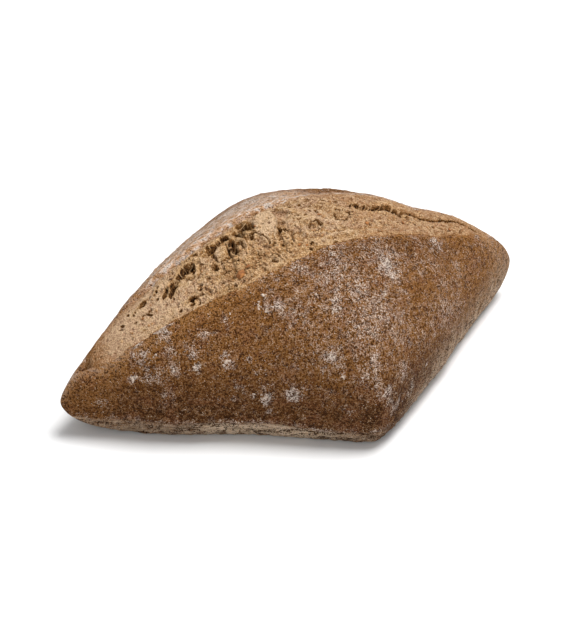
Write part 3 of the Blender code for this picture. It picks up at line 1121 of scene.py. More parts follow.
@dataclass
class Crust:
    """The crust all round, with the trough that the torn crumb lies in."""

    form: RollForm
    finish: CrustFinish
    columns: int = 430
    last_column: float = 0.9985
    tip_crowding: float = 0.2
    under_rows: int = 6
    foot_rows: int = 17
    front_rows: int = 92
    back_rows: int = 66
    lip_crowding: float = 1.25
    trough: Line = (
        (0.25, 0.04), (0.5, 0.12), (0.8, 0.35), (1.1, 1.3), (1.5, 4.0), (3.0, 8.0),
    )
    lip_bead: float = 0.12
    flap_lift: float = 0.55
    skin_lift: float = 0.45
    band_level: float = 6.0
    band_sink: float = 0.4
    bubble_spacing: float = 2.1
    bubble_height: float = 0.16
    streak_height: float = 0.30
    # Depth at which the hollows' painted shade is full.
    hollow_shade_depth: float = 0.2
    ring_height: float = 0.22
    spot_depth: float = 0.15
    tip_flatness: int = 14
    noise: Noise = Noise(3)
    swells: Waves = ((0.45, 17.0), (0.2, 7.0))
    grain: Waves = ((0.13, 2.6), (0.09, 1.2))
    hem: Waves = ((0.35, 2.6), (0.3, 1.1))
    blisters: tuple[Blister, ...] = each(
        Blister,
        (10.5, 49, 0.75), (-27.2, 30, 0.6), (-30.2, 50, 0.6),
    )
    flour: tuple[FlourPatch, ...] = each(
        FlourPatch,
        (37.2, 65, 2.6, 0.80), (34.5, 57, 1.8, 0.55), (15.2, 60, 3.2, 0.85),
        (16.4, 54, 2.4, 0.75), (-1.5, 58, 1.4, 0.60), (-3.5, 50, 2.2, 0.85), (3.8, 53, 2.8, 0.62),
        (0.5, 44, 1.7, 0.55), (-7.8, 70, 2.3, 0.60), (-16.8, 55, 3.4, 0.62),
        (-14.2, 50, 2.4, 0.50), (-12.8, 45, 3.4, 0.42), (-14.2, 66, 1.6, 0.60),
        (-8.5, 30, 2.4, 0.72), (-10.5, 25, 2.4, 0.52), (-7.8, 24, 2.3, 0.52),
        (-7.2, 20, 1.1, 0.75), (-18.8, 11, 2.2, 0.85), (-15.8, 14, 0.9, 0.55),
        (-7.2, 4, 1.2, 0.55), (0.2, 26, 4.2, 0.52), (-0.2, 18, 3.6, 0.52), (3.0, 9, 2.6, 0.66),
        (6.0, 1, 2.4, 0.70), (10.0, 14, 3.6, 0.52), (13.2, 3, 2.6, 0.50), (12.0, 35, 5.5, 0.42),
        (20.8, 6, 0.9, 0.70), (24.0, 20, 3.4, 0.42), (39.8, 20, 2.6, 0.36), (18.0, 44, 2.8, 0.40),
        (26.5, 50, 2.8, 0.42), (41.8, 46, 3.2, 0.42), (55.0, 60, 1.8, 0.60),
        (-7.0, 57, 0.9, 0.70), (-43.8, 60, 1.9, 0.75), (-46.0, 55, 1.0, 0.75),
        (-51.2, 51, 2.5, 0.58), (-53.8, 32, 1.3, 0.80), (-44.8, 45, 2.5, 0.50),
        (-45.0, 34, 2.3, 0.55), (-36.2, 51, 2.0, 0.42), (-39.8, 42, 2.3, 0.50),
        (-39.8, 30, 1.3, 0.90), (-32.5, 30, 1.7, 0.90), (-32.2, 36, 1.8, 0.62),
        (-29.8, 55, 1.5, 0.48), (-26.0, 22, 0.9, 0.60), (-24.5, 8, 1.8, 0.90),
        (-27.2, 10, 0.9, 0.80), (-24.8, 14, 1.2, 0.60), (-30.8, 15, 0.9, 0.50),
        (-31.5, 8, 0.9, 0.50), (-36.0, 8, 0.8, 0.60), (-23.8, 1, 0.9, 0.70),
        (-60.8, 6, 1.8, 0.48), (-48.0, 30, 2.8, 0.46), (-51.0, 32, 2.2, 0.46),
        (-47.2, 14, 2.3, 0.36), (-2.5, 122, 4.6, 1.0), (-9.0, 124, 4.6, 1.0),
        (-16.8, 124, 4.4, 0.85), (-25.0, 124, 3.6, 0.75), (-33.0, 122, 3.4, 0.7),
        (4.0, 118, 2.6, 0.6), (16.0, 138, 4.5, 0.6), (34.0, 136, 4.0, 0.5),
        (-30.0, 150, 5.0, 0.6), (4.0, 155, 6.0, 0.7), (28.0, 160, 5.0, 0.5),
    )
    points: Array = field(init=False)
    normals: Array = field(init=False)
    thickness: Array = field(init=False)

    def rows(self, section: Section) -> tuple[Array, Array]:
        """The base points of every row, and how deep each row is sunk in the trough.

        Args:
            section: The cross sections.

        Returns:
            The grid of points, which starts under the roll and goes up the front, and the depths.
        """
        even = np.linspace(0, 1, self.front_rows)[None, :]
        front = 1 - (1 - even) ** self.lip_crowding
        even = np.linspace(0, 1, self.back_rows)[None, :]
        back = even**self.lip_crowding
        scale = np.minimum(1, section.opening / 10)
        inset, sunk = np.array(self.trough).T
        share = inset[None, :] * scale / section.opening
        share = np.concatenate([share, 0.5 + 0 * scale, 1 - share[:, ::-1]], axis=1)
        sunk = np.concatenate([sunk, [sunk[-1]], sunk[::-1]])[None, :] * scale
        spread = section.back_angle - section.front_angle
        under = np.linspace(0, 1, self.under_rows, endpoint=False)[None, :]
        foot = np.linspace(0, 1, self.foot_rows, endpoint=False)[None, :]
        form = self.form
        blocks = [
            form.under(section, -1, 1 - under),
            form.foot(section, -1, 1 - foot),
            form.dome(section, front * section.front_angle),
            form.dome(section, section.front_angle + share * spread),
            form.dome(section, section.back_angle + back * (math.pi - section.back_angle)),
            form.foot(section, 1, foot[:, 1:]),
            form.under(section, 1, under),
        ]
        depth = [np.zeros(block.shape[:2]) for block in blocks]
        depth[3] = sunk
        return np.concatenate(blocks, axis=1), np.concatenate(depth, axis=1)

    def flour_at(self, points: Array) -> Array:
        """How thick the flour lies: the thickest patch there, and a thin haze over the upper crust.

        Each patch falls off like exp(-(distance / reach) ** 3), with a wandering edge.

        Args:
            points: Places on the crust.

        Returns:
            The thickness, from 0 to about 1.
        """
        x, y, z = np.moveaxis(points, -1, 0)
        waves, front = self.noise.waves, y < 0
        drift = waves(points, 9.0, 50)
        haze = 0.17 + 0.22 * drift + 0.08 * waves(points, 3.4)
        haze = haze * smooth(z, 11, 26) * (1.1 - 0.85 * smooth(-x, -10, 40))
        haze = haze * (1 - 0.7 * (y > 0) * smooth(x, 4, 12))
        haze = haze + 0.12 * smooth(x, 14, 40) * front * (1 - smooth(z, 20, 30))
        haze = haze * (1 - 0.6 * hump(x, 52, 12) * front)
        haze = haze + 0.17 * hump(x, 4, 9) * front * smooth(z, 20, 34)
        haze = haze + 0.05 * hump(x, -2, 12) * hump(y, -30, 10)
        haze = haze + 0.06 * hump(x, -12, 12) * front * smooth(z, 26, 38)
        total = np.clip(haze, 0, 1)

        wander = self.noise.drift(points, 3.2) * 1.5 + self.noise.drift(points, 1.3) * 0.8
        patchy = 0.60 + 0.50 * smooth(waves(points, 1.9, 80), -0.35, 0.35)
        rows = np.array([(p.x, p.angle, p.reach, p.thickness) for p in self.flour])
        middles = self.form.place(rows[:, 0], rows[:, 1])
        for middle, (_, _, reach, thickness) in zip(middles, rows):
            gap = np.linalg.norm(points + wander - middle, axis=-1) / (1.15 * reach)
            total = np.maximum(total, 0.85 * thickness * patchy * np.exp(-(gap**3)))
        return np.where(z < 0.4, 0.4 + 0.3 * drift, total)

    def lip_at(self, ground: Ground) -> Array:
        """The bead along both lips, and the lift of the flap behind the slash."""
        x, gap = ground.x, ground.gap
        lift = ~ground.front * smooth(x, -52, -44) * (1 - smooth(x, -6, 6))
        bead = self.lip_bead * hump(gap, 0, 2.5) * (1 - np.abs(x / self.form.half_length) ** 3)
        return bead + self.flap_lift * lift * hump(gap, 0, 3.5)

    def band_at(self, ground: Ground) -> tuple[Array, Array, Array]:
        """The pale band round the foot, broad on the back and the right, faint in the middle.

        Args:
            ground: The smooth crust.

        Returns:
            The level of its upper edge, the share of it at each place, and how pale it is there.
        """
        x, z, front, waves = ground.x, ground.z, ground.front, self.noise.waves
        edge = self.band_level - 1.2 * smooth(x, -26, -2) * front
        edge = edge + 0.8 * waves(ground.base * (0.35, 0.35, 0), 3.0)
        clear = 1 - 0.6 * smooth(x, -18, -2) - 0.5 * smooth(-x, 34, 46)
        clear = np.where(front, clear * (1 - smooth(x, -1, 7)), 1.0)
        flank = smooth(x, 10, 30) * (1 - smooth(z, 7, 19)) + 0.25 * smooth(x, 52, 66)
        flank = flank * (0.5 + 0.5 * waves(ground.base * (1, 1, 0.25), 2.2))
        flank = flank + 0.45 * smooth(x, 6, 16) * (1 - smooth(z, 5, 10))
        pale = np.maximum(smooth(edge - z, -0.7, 0.9) * clear, np.clip(flank, 0, 0.8) * front)
        return edge, smooth(edge - z, -0.3, 0.5), pale

    def rings_at(self, ground: Ground) -> tuple[Array, Array]:
        """The blisters' raised rings and their dark middles, from 0 to 1."""
        x, angle, radii = np.array([(b.x, b.angle, b.radius) for b in self.blisters]).T
        ring, spot = np.zeros(ground.x.shape), np.zeros(ground.x.shape)
        for middle, radius in zip(self.form.place(x, angle), radii):
            away = np.linalg.norm(ground.base - middle, axis=-1) / radius
            ring += hump(away, 1, 0.35)
            spot += np.exp(-(away**4))
        return ring, spot

    def bake_and_shade_at(self, ground: Ground) -> Array:
        """How brown the crust is baked, with painted shade added: darkest low down in front, light at
        the lips and the tips.

        Args:
            ground: The smooth crust.

        Returns:
            The browning, from 0 for golden to 1 for the darkest brown, with painted shade low down in
            front.
        """
        x, z, gap, front, back = ground.x, ground.z, ground.gap, ground.front, ~ground.front
        # Low down in front the crust is browner, and darker still by painted shade.
        low = 1 - smooth(ground.height, 7.0, 28.0)
        tips = (0.40 + 0.12 * (x > 0)) * smooth(np.abs(x), 50, 64)
        bake_and_shade = 0.52 * low + 0.04 * smooth(-x, 10, 50) - 0.34 * smooth(x, 14, 42) * low - tips
        bake_and_shade += 0.26 * hump(x, 10, 16) * (1 - smooth(z, 12, 26)) - 0.16 * hump(x, 52, 13)
        bake_and_shade += 0.22 * hump(gap, 3.0, 3.5) * smooth(x, -12, 4)
        bake_and_shade -= 0.26 * hump(gap, 0, 1.6) + 0.14 * hump(gap, 0, 4.0) * smooth(-x, 10, 30)
        flap_end = smooth(gap, 1.5, 4.0) * smooth(x, 4, 20)
        bake_and_shade = 0.36 + bake_and_shade * front + 0.16 * back * (flap_end - smooth(ground.height, 18, 34))
        return np.where(gap == 0, bake_and_shade * 0.8, bake_and_shade)

    def torn_at(self, ground: Ground) -> Array:
        """How torn and stretched the crust is: most on the flap behind the slash.

        Args:
            ground: The smooth crust.

        Returns:
            The share of torn crust, from 0 to 1.
        """
        x, z, gap = ground.x, ground.z, ground.gap
        right = smooth(x, 8, 20)
        torn = hump(gap, 0, 4.5 - 2.3 * right) * ~ground.front * (1 - 0.3 * right)
        wide = 0.9 * ground.flap * np.exp(-((gap / 15.0) ** 3)) * smooth(z, 12, 24)
        torn = np.maximum(torn, wide) * smooth(z, 9.5, 15) * (1 - 0.6 * smooth(-x, 32, 46))
        return np.maximum(torn, 0.3 * hump(gap, 0, 1.2) * ground.front * smooth(-x, 44, 60))

    def lay(self) -> Ground:
        """The smooth crust, its columns a little closer together towards the tips."""
        even = np.linspace(-1, 1, self.columns)
        crowded = (1 - self.tip_crowding) * even + self.tip_crowding * np.sin(even * math.pi / 2)
        section = self.form.section(crowded * self.last_column)
        return Ground(section, *self.rows(section), self.form.widest_level)

    def texture(self, ground: Ground, in_band: Array) -> Array:
        """The crust's fine relief: grain, bubbles, streaks along the flap, and the band's folds.

        Args:
            ground: The smooth crust.
            in_band: The share of the pale band at each place.

        Returns:
            The relief in millimetres, about 0 on average.
        """
        base, x, waves = ground.base, ground.x, self.noise.waves
        fine = self.noise.mixed(base, self.grain)
        fine += 0.22 * (1 - smooth(ground.z, 9, 14)) * smooth(x, -66, -50) * waves(base, 1.5, 60)
        spots, _, kinds = self.noise.cells(base, self.bubble_spacing)
        fine += self.bubble_height * smooth(0.42 - spots, 0, 0.3) * (kinds > 0.45)
        streaky = np.stack([0.15 * x, 0 * x, ground.across], axis=-1)
        streaks = ground.flap * hump(ground.gap, 5.0, 7.0) * waves(streaky, 1.2, 7)
        folds = 0.42 * waves(base * (0.2, 0.2, 1.0), 1.3, 3) + 0.18 * waves(base, 1.1, 3)
        return fine + self.streak_height * streaks + in_band * folds

    def hem_at(self, ground: Ground) -> Array:
        """How far the foot's edge wavers in y, outwards on both sides."""
        foot_line = np.stack([ground.x, 0 * ground.x, 20.0 * ground.front], axis=-1)
        hem = self.noise.mixed(foot_line, self.hem)
        hem = hem * hump(ground.height, 0, 1.3) * smooth(np.abs(ground.y), 3, 9)
        return np.where(ground.front, -hem, hem)

    def build(self) -> bpy.types.Object:
        """Builds the crust: the smooth grid, its relief, and the values for its colours.

        Returns:
            The crust piece.
        """
        ground = self.lay()
        base, x, front = ground.base, ground.x, ground.front
        reach, inside = self.form.half_length, ground.sunk > 0
        edge, in_band, pale = self.band_at(ground)
        ring, spot = self.rings_at(ground)
        skin = (hump(x, -44.2, 2.6) + hump(x, -51.0, 1.4)) * hump(ground.gap, 0, 0.35)
        skin = skin * front * ~inside

        uneven = self.texture(ground, in_band)
        relief = self.noise.mixed(base, self.swells) + self.lip_at(ground) + uneven
        relief += self.skin_lift * skin - self.band_sink * in_band
        relief += self.ring_height * ring - self.spot_depth * spot
        relief *= smooth(ground.height, 0.0, 2.0) * (1 - np.abs(x / reach) ** self.tip_flatness)
        normals = grid_normals(base)
        points = base + normals * (relief - ground.sunk)[..., None]
        points[..., 1] += self.hem_at(ground)
        self.points, self.normals = points, normals

        # How far each place lies below its softened neighbours, for the hollows' painted shade.
        pit = (soften(uneven, (3, 3)) - uneven) / self.hollow_shade_depth
        floury = np.maximum(np.maximum(self.flour_at(base), 1.1 * skin), 0.5 * ring)
        edge_line = hump(ground.z, edge + 0.8, 0.9) * (0.35 + 0.35 * self.noise.waves(base, 4.0))
        floury = np.maximum(floury, 0.8 * edge_line * front * smooth(-x, -20, 0))
        self.thickness = np.where(inside, 0, floury * (1 - 0.75 * in_band))
        values = {
            Patch.BAKE: self.bake_and_shade_at(ground) + 0.6 * spot,
            Patch.FLOUR: self.thickness,
            Patch.BAND: pale,
            Patch.TORN: self.torn_at(ground),
            Patch.HOLLOW_SHADE: np.clip(np.where(inside, 0, pit), -1, 1),
            Patch.ALONG: x * MM,
            Patch.ACROSS: ground.across * MM,
        }
        tips = np.array([[-reach, 0, self.form.widest_level], [reach, 0, self.form.widest_level]])
        return make_piece(
            "roll_crust",
            np.concatenate([points.reshape(-1, 3), tips]),
            tube_faces(*points.shape[:2]),
            {k: np.concatenate([v.ravel(), [v[0].mean(), v[-1].mean()]]) for k, v in values.items()},
            self.finish.material(),
        )


# The crumb ---------------------------------------------------------------------------------


@dataclass
class Bed:
    """The smooth bed that the torn crumb rises from, with what its relief and colours go by.

    Width is the slash's, and share runs over it from the front lip to the back one. Edge is 0 at
    the lips and 1 inside, flap is 1 beside the torn flap, and the bent places bend the caves'
    and the fibres' lines a little.
    """

    base: Array
    width: Array
    share: Array
    noise: Noise
    x: Array = field(init=False)
    y: Array = field(init=False)
    front_in: Array = field(init=False)
    back_in: Array = field(init=False)
    inset: Array = field(init=False)
    edge: Array = field(init=False)
    flap: Array = field(init=False)
    bent_x: Array = field(init=False)
    bent_y: Array = field(init=False)

    def __post_init__(self) -> None:
        """Works the measures out from the places."""
        self.x, self.y = self.base[..., 0], self.base[..., 1]
        self.front_in = self.share * self.width
        self.back_in = (1 - self.share) * self.width
        self.inset = np.minimum(self.front_in, self.back_in)
        self.edge = smooth(self.inset, -0.4, 2.4)
        self.flap = smooth(self.x, -50, -40) * (1 - smooth(self.x, -4, 8))
        self.bent_x = self.x + 0.5 * self.noise.waves(self.base, 2.6, 12)
        self.bent_y = self.y + 0.5 * self.noise.waves(self.base, 2.6, 43)


@dataclass
class Crumb:
    """The torn crumb between the lips, with its caves, cracks, pores and fibres."""

    form: RollForm
    finish: CrumbFinish
    columns: int = 860
    rows: int = 110
    reach: float = 65.0
    overlap: float = 1.0
    sag: float = 0.6
    step: float = 1.0
    underside: float = 9.0
    lip_dive: float = 1.1
    tip_dive: float = 1.8
    tip_dive_start: float = 60.5
    wall_depth: float = 2.2
    least_drop: float = 3.0
    tuck_in: float = 0.4
    full_width: float = 9.0
    noise: Noise = Noise(11)
    swells: Waves = ((0.55, 8.0), (0.35, 3.8, 9))
    rag: Waves = ((0.40, 1.9), (0.15, 1.2, 20), (0.5, 3.6, 8))
    # Size and height of the ridges, then spacing, depth and scarcity of the small holes.
    ridges: tuple[tuple[float, float], ...] = ((2.3, 0.65), (1.15, 0.55), (0.62, 0.30))
    holes: tuple[tuple[float, float, float], ...] = (
        (1.9, 1.1, 0.62), (1.1, 0.7, 0.55), (0.7, 0.3, 0.35),
    )
    # Depth, lean, wall and raggedness of every pore, then width and the rest of every crease.
    pore_shape: tuple[float, ...] = (2.4, 0.2, 0.3, 0.4)
    crease_shape: tuple[float, ...] = (0.34, 0.78, 0.0, 0.8)
    mounds: tuple[Mound, ...] = each(
        Mound,
        (-6.2, 5.4, 14.0, 6.6, 68, 0.8), (-21.4, 1.6, 5.0, 4.0, 60, 0.5),
    )
    calm: tuple[Oval, ...] = each(
        Oval,
        (-6.2, 5.2, 15.5, 7.4, 68), (-21.2, 1.8, 5.5, 4.2, 60), (-11.8, -3.2, 8.0, 4.4, -79),
        (-1.0, 4.8, 4.6, 7.4, -10), (22.5, -1.6, 5.0, 5.0, 0), (-34.0, -4.0, 7.0, 4.0, 30),
        (4.3, -4.9, 3.4, 3.4, 0), (14.4, -1.5, 3.8, 3.0, 0), (-1.5, -6.6, 2.8, 2.8, 0),
    )
    caves: tuple[Cave, ...] = each(
        Cave,
        (-30.6, 2.6, 4.4, 3.6, 30, 4.4, 0.1, 0.5, 0.5),
        (-33.0, 1.8, 4.6, 2.8, 45, 3.8, 0.1, 0.5, 0.5),
        (-36.2, -0.6, 4.4, 1.9, 45, 3.2, 0.1, 0.5, 0.5), (-29.8, 0.2, 1.8, 1.4, 90, 3.0, 0.1),
        (-27.0, 7.0, 2.0, 1.6, 20, 3.4, 0.1, 0.4, 0.4),
        (-29.0, 5.8, 1.6, 1.2, 20, 2.8, 0.1, 0.4, 0.4),
        (-22.4, 5.3, 3.0, 2.2, 30, 2.3, 0.1, 0.7, 0.7),
        (-20.4, 6.1, 2.2, 1.4, 30, 2.0, 0.1, 0.6, 0.7),
        (-17.6, 1.6, 7.2, 3.0, 77, 2.4, 0.1, 0.9, 0.5),
        (-18.1, -0.8, 3.0, 2.1, 80, 6.0, 0.1, 0.5, 0.3),
        (-17.0, 3.6, 2.4, 1.8, 60, 3.4, 0.1, 0.5, 0.5),
        (-15.9, 0.8, 1.9, 1.3, 75, 4.0, 0.1, 0.4, 0.3),
        (-16.6, -1.1, 1.9, 1.3, 75, 4.0, 0.1, 0.4, 0.3),
        (-14.0, 4.9, 4.6, 3.2, 80, 4.0, 0.1, 0.6, 0.5),
        (-10.8, 7.5, 6.6, 4.2, 100, 5.0, 0.1, 0.5, 0.6),
        (-11.1, 2.2, 1.8, 1.6, 0, 3.6, 0.1, 0.4, 0.3),
        (-12.9, 1.3, 3.4, 3.4, 20, 1.9, 0.1, 1.2, 0.5),
        (-12.0, -3.0, 8.0, 4.2, -79, 1.1, 0.0, 1.3, 0.3),
        (-1.1, 5.0, 4.4, 7.6, -10, 0.9, 0.2, 0.9, 0.3), (-2.6, 2.2, 2.6, 2.2, 20, 1.6, 0.1),
        (4.3, -4.6, 4.0, 4.2, 0, 1.1, 0.1, 1.2, 0.3),
        (14.4, -1.2, 4.4, 3.4, 0, 1.2, 0.1, 1.2, 0.3),
        (-1.5, -6.4, 3.2, 3.2, 0, 1.0, 0.1, 1.0, 0.3),
        (11.4, 2.4, 3.4, 3.0, 0, 1.1, 0.1, 1.0, 0.3), (-5.0, -0.6, 1.4, 1.8, 0, 3.0, 0.1),
        (-25.2, -2.3, 2.2, 1.5, 20, 1.8, 0.1), (-21.8, -2.6, 2.0, 1.6, 0, 2.0, 0.1),
        (-21.3, -5.2, 4.6, 3.0, 80, 1.4, 0.1, 0.9, 0.5), (-19.7, -4.9, 1.6, 1.1, 0, 2.4, 0.1),
        (-25.5, -3.9, 1.8, 1.3, 0, 2.4, 0.1), (-23.8, -6.4, 3.0, 2.2, 20, 1.6, 0.1, 0.9),
        (-28.4, -5.2, 1.8, 1.3, 0, 1.6, 0.1), (-39.3, 2.8, 2.1, 1.2, 45, 2.8, 0.1),
        (-40.8, 1.7, 1.6, 1.3, 50, 2.8, 0.1), (-44.6, 1.8, 2.6, 1.6, 40, 3.2, 0.1, 0.4, 0.3),
        (-34.5, -8.2, 2.6, 1.8, 20, 2.2, 0.1), (-31.4, -6.6, 1.8, 0.9, 70, 2.1, 0.1),
        (-30.2, -7.2, 2.0, 0.8, 80, 2.0, 0.1), (17.2, 1.3, 1.6, 1.4, 20, 2.2, 0.1),
        (22.6, 3.7, 4.4, 3.4, 70, 2.3, 0.2, 0.8, 0.5),
        (25.2, 2.9, 3.6, 2.0, -50, 2.3, 0.1, 0.6, 0.5),
        (28.4, 3.0, 3.6, 2.0, -50, 2.6, 0.2, 0.7, 0.5),
        (32.0, 2.4, 5.4, 2.2, -54, 4.0, 0.2, 0.6, 0.35),
        (34.0, 0.2, 4.0, 1.7, -62, 3.4, 0.2, 0.5, 0.35),
    )
    pores: tuple[tuple[float, float, float], ...] = (
        (-6.4, -4.7, 1.2), (-4.8, -5.8, 1.1), (-7.4, -7.4, 1.0), (1.6, 4.7, 0.8), (3.0, 8.0, 1.0),
        (6.0, 8.3, 0.9), (7.4, 4.6, 0.8), (13.6, 8.8, 1.1), (8.8, 4.2, 0.9), (4.8, 2.1, 1.0),
        (2.4, 3.1, 0.9), (4.8, -4.9, 1.2), (6.2, -4.9, 1.3), (-0.6, -10.7, 1.0),
        (-1.6, -12.6, 1.0), (16.8, 7.5, 1.2), (15.4, 3.4, 1.2), (16.2, 2.8, 1.2),
        (12.0, -1.9, 1.3), (6.4, -12.0, 0.9), (17.2, 0.6, 1.2), (-48.6, -2.7, 0.7),
        (-49.0, 2.1, 0.8), (-48.0, 0.1, 0.8), (-51.6, -0.4, 0.9), (-52.4, -1.3, 0.8),
        (-41.4, -0.8, 0.8), (-38.6, -8.9, 0.8), (-35.2, -9.4, 0.9), (36.0, -4.0, 0.9),
        (42.0, -3.4, 0.8), (29.0, -5.6, 0.9),
    )
    cracks: tuple[Crack, ...] = each(
        Crack,
        (((-23.6, 4.6), (-21.4, 5.8), (-19.6, 6.6), (-18.2, 7.3), (-17.0, 6.8)), 1.0, 2.4, 0.4),
        (((-38.4, -2.4), (-35.8, 1.2), (-33.8, 2.8), (-31.0, 4.2)), 0.7, 1.6, 0.3),
        (((-20.3, -2.5), (-20.1, -0.8), (-19.3, 1.6), (-18.1, 4.4)), 0.45, 1.8, 0.0, 0.3),
        (((-11.1, 2.8), (-10.2, 1.0), (-9.6, -0.8), (-9.4, -2.6), (-9.5, -4.6)), 0.35, 0.95, 0.1, 0.7),
        (((-2.6, 8.2), (-1.6, 8.8), (0.0, 8.1), (1.4, 5.4)), 0.35, 0.7, 0.3),
        (((-5.8, -1.4), (-4.6, -0.4), (-2.8, -1.4)), 0.7, 1.7, 0.4),
        (((-40.4, -1.4), (-39.4, -0.4), (-38.2, 0.6)), 0.5, 1.6, 0.3),
        (((-46.6, -2.3), (-45.6, -2.3), (-44.6, -3.6)), 0.35, 1.1),
        (((20.0, 4.6), (22.6, 5.6), (25.4, 3.9), (27.4, 4.2), (29.6, 4.4)), 0.6, 1.8, 0.3),
        (((25.4, 4.0), (29.4, 4.0), (31.4, 3.2), (33.0, 1.0), (34.2, -0.8)), 1.7, 3.4, 0.1, 0.4),
        (((33.4, 1.8), (36.8, 2.2), (39.2, 2.2), (40.6, 1.4), (43.4, 1.7)), 0.9, 2.6, 0.1, 0.4),
        (((43.0, 1.6), (46.2, 1.6), (49.0, 1.2), (52.4, 1.6), (54.0, 0.2)), 0.8, 2.0, 0.1, 0.4),
        (((54.0, 0.0), (56.6, -1.9)), 0.8, 1.8, 0.1),
        (((-24.0, -9.6), (-20.0, -8.4), (-15.0, -9.8)), 0.5, 0.7, 0.3),
        (((12.6, 1.2), (12.4, -1.9), (14.2, -2.7), (16.6, -0.9), (18.6, 1.4)), 0.4, 1.3, 0.1, 0.9),
        (((2.4, -3.4), (4.4, -1.4), (6.4, -1.0), (6.8, -3.0)), 0.4, 1.2, 0.1, 0.9),
        (((-3.2, -6.0), (-2.6, -4.4), (-0.8, -4.6)), 0.35, 1.1, 0.1, 0.9),
    )
    creases: tuple[Line, ...] = (
        ((-2.7, 7.0), (-3.5, 3.2), (-5.5, 0.4), (-7.9, -1.0)),
        ((-16.3, -6.6), (-14.5, -5.0), (-13.5, -6.6), (-12.5, -8.8), (-10.7, -8.6)),
        ((-22.7, -2.8), (-23.5, -5.4), (-22.3, -7.0), (-21.1, -6.8)),
        ((-23.9, -0.8), (-23.3, -2.6), (-23.7, -5.2)),
        ((-24.9, 2.6), (-23.3, 2.4), (-23.5, -1.2)),
        ((-18.5, -3.6), (-20.7, -6.2)),
        ((-1.5, 2.2), (-3.1, -4.6), (-4.1, -8.0)),
        ((3.9, -3.8), (5.7, -2.4), (6.3, -3.8), (7.1, -5.4)),
        ((2.9, -6.2), (1.9, -8.8)),
        ((-3.9, -0.2), (-5.7, -2.6), (-6.5, -7.8), (-7.9, -10.8)),
        ((-13.5, -4.4), (-13.9, -6.2), (-14.9, -7.2)),
        ((5.5, 6.6), (8.5, 7.8), (10.3, 6.4)),
        ((0.1, -1.0), (0.1, -3.6), (-1.7, -6.4)),
        ((13.1, 1.0), (16.1, 2.8), (17.7, 2.0)),
        ((9.1, -5.6), (9.5, -8.2), (11.7, -7.6)),
        ((-27.3, 3.2), (-27.7, 0.2), (-29.1, -1.8)),
        ((-18.3, -5.6), (-18.5, -8.2), (-20.3, -9.4)),
        ((-11.1, -2.6), (-11.1, -6.0), (-8.7, -5.6)),
    )
    fibres: tuple[Fibre, ...] = each(
        Fibre,
        (((-3.0, 8.4), (-3.2, 4.2), (-6.2, -0.7), (-7.2, -2.9), (-9.2, -8.0)), 0.45, 0.5),
        (((-4.2, -0.2), (-4.2, -4.0), (-6.0, -9.0)), 0.4, 0.45),
        (((-3.2, 8.4), (-2.2, 9.8), (-0.6, 9.8), (1.0, 8.4), (2.0, 5.6)), 0.45, 0.4),
        (((-17.9, 4.4), (-18.6, 1.9), (-19.2, 0.1), (-19.9, -2.0), (-19.2, -3.2)), 0.35, 0.7),
        (((-15.2, 3.2), (-15.0, 0.6), (-15.6, -2.6)), 0.4, 0.6),
        (((-12.6, 3.6), (-12.2, 2.8), (-10.4, 2.9)), 0.35, 0.6),
        (((-25.4, 4.6), (-23.0, 6.3), (-19.0, 7.9), (-16.4, 7.6)), 0.5, 0.5),
        (((-30.0, -1.4), (-28.6, 1.0), (-28.6, 3.4)), 0.4, 0.5),
        (((29.0, 6.0), (32.2, 5.2), (34.6, 3.8), (38.8, 3.8), (42.0, 3.0)), 0.5, 0.6),
        (((-2.0, -6.0), (8.0, -8.6), (20.0, -9.2)), 0.9, 0.3),
    )
    points: Array = field(init=False)
    normals: Array = field(init=False)

    def lay(self) -> Bed:
        """The places on the dome between the lips, and a little way under them."""
        along = np.linspace(-self.reach, self.reach, self.columns) / self.form.half_length
        section = self.form.section(along)
        margin = np.minimum(self.overlap / section.opening, 0.4)
        share = np.linspace(0, 1, self.rows)[None, :] * (1 + 2 * margin) - margin
        angle = section.front_angle + share * (section.back_angle - section.front_angle)
        return Bed(self.form.dome(section, angle), section.opening, share, self.noise)

    def roughness_at(self, bed: Bed) -> tuple[Array, Array]:
        """How coarse the crumb is, and the share of threads that run across, from 0 to 1."""
        x = bed.x
        middle = smooth(x, -47, -37) * (1 - 0.15 * smooth(x, -4, 8) - 0.1 * smooth(x, 34, 50))
        skin = 0.7 * (1 - smooth(bed.back_in, 1.5, 4.0)) * (1 - smooth(x, -8, 4))
        coarse = (0.2 + 0.8 * middle) * (1 - skin)
        for oval in self.calm:
            coarse = coarse * (1 - 0.7 * smooth(1.1 - oval.place(x, bed.y)[0], 0, 0.35))
        return coarse, smooth(x, -16, -8) * (1 - smooth(x, 2, 12))

    def carve(self, bed: Bed) -> tuple[Array, Array, Array]:
        """The depth of caves and cracks, how far they shift to the back, and the shade painted in
        them.

        Their edges are ragged, and thin walls are left standing in them where a wave crosses 0.

        Args:
            bed: The smooth bed.

        Returns:
            The depth, the shift in y, and the painted shade (below 0 the rims' painted highlight), all
            of which fade out at the lips.
        """
        walls = hump(self.noise.waves(bed.base, 2.6, 60), 0, 0.08)
        ragged = Ragged(self.noise.mixed(bed.base, self.rag), walls)
        deepest, shift, darkest = (np.zeros(bed.x.shape) for _ in range(3))
        pores = [Cave(x, y, size, size, 0, *self.pore_shape) for x, y, size in self.pores]
        creases = [Crack(line, *self.crease_shape) for line in self.creases]
        for tear in (*self.caves, *pores, *self.cracks, *creases):
            depth, dark = tear.carve(bed.bent_x, bed.bent_y, ragged)
            shift = np.where(depth > deepest, tear.lean * depth / tear.depth, shift)
            deepest = np.maximum(deepest, depth)
            darkest = np.where(np.abs(dark) > np.abs(darkest), dark, darkest)
        inner = smooth(bed.inset, 0.0, 0.9) * np.minimum(1, bed.width / self.full_width)
        return deepest * inner, shift * inner, darkest * inner

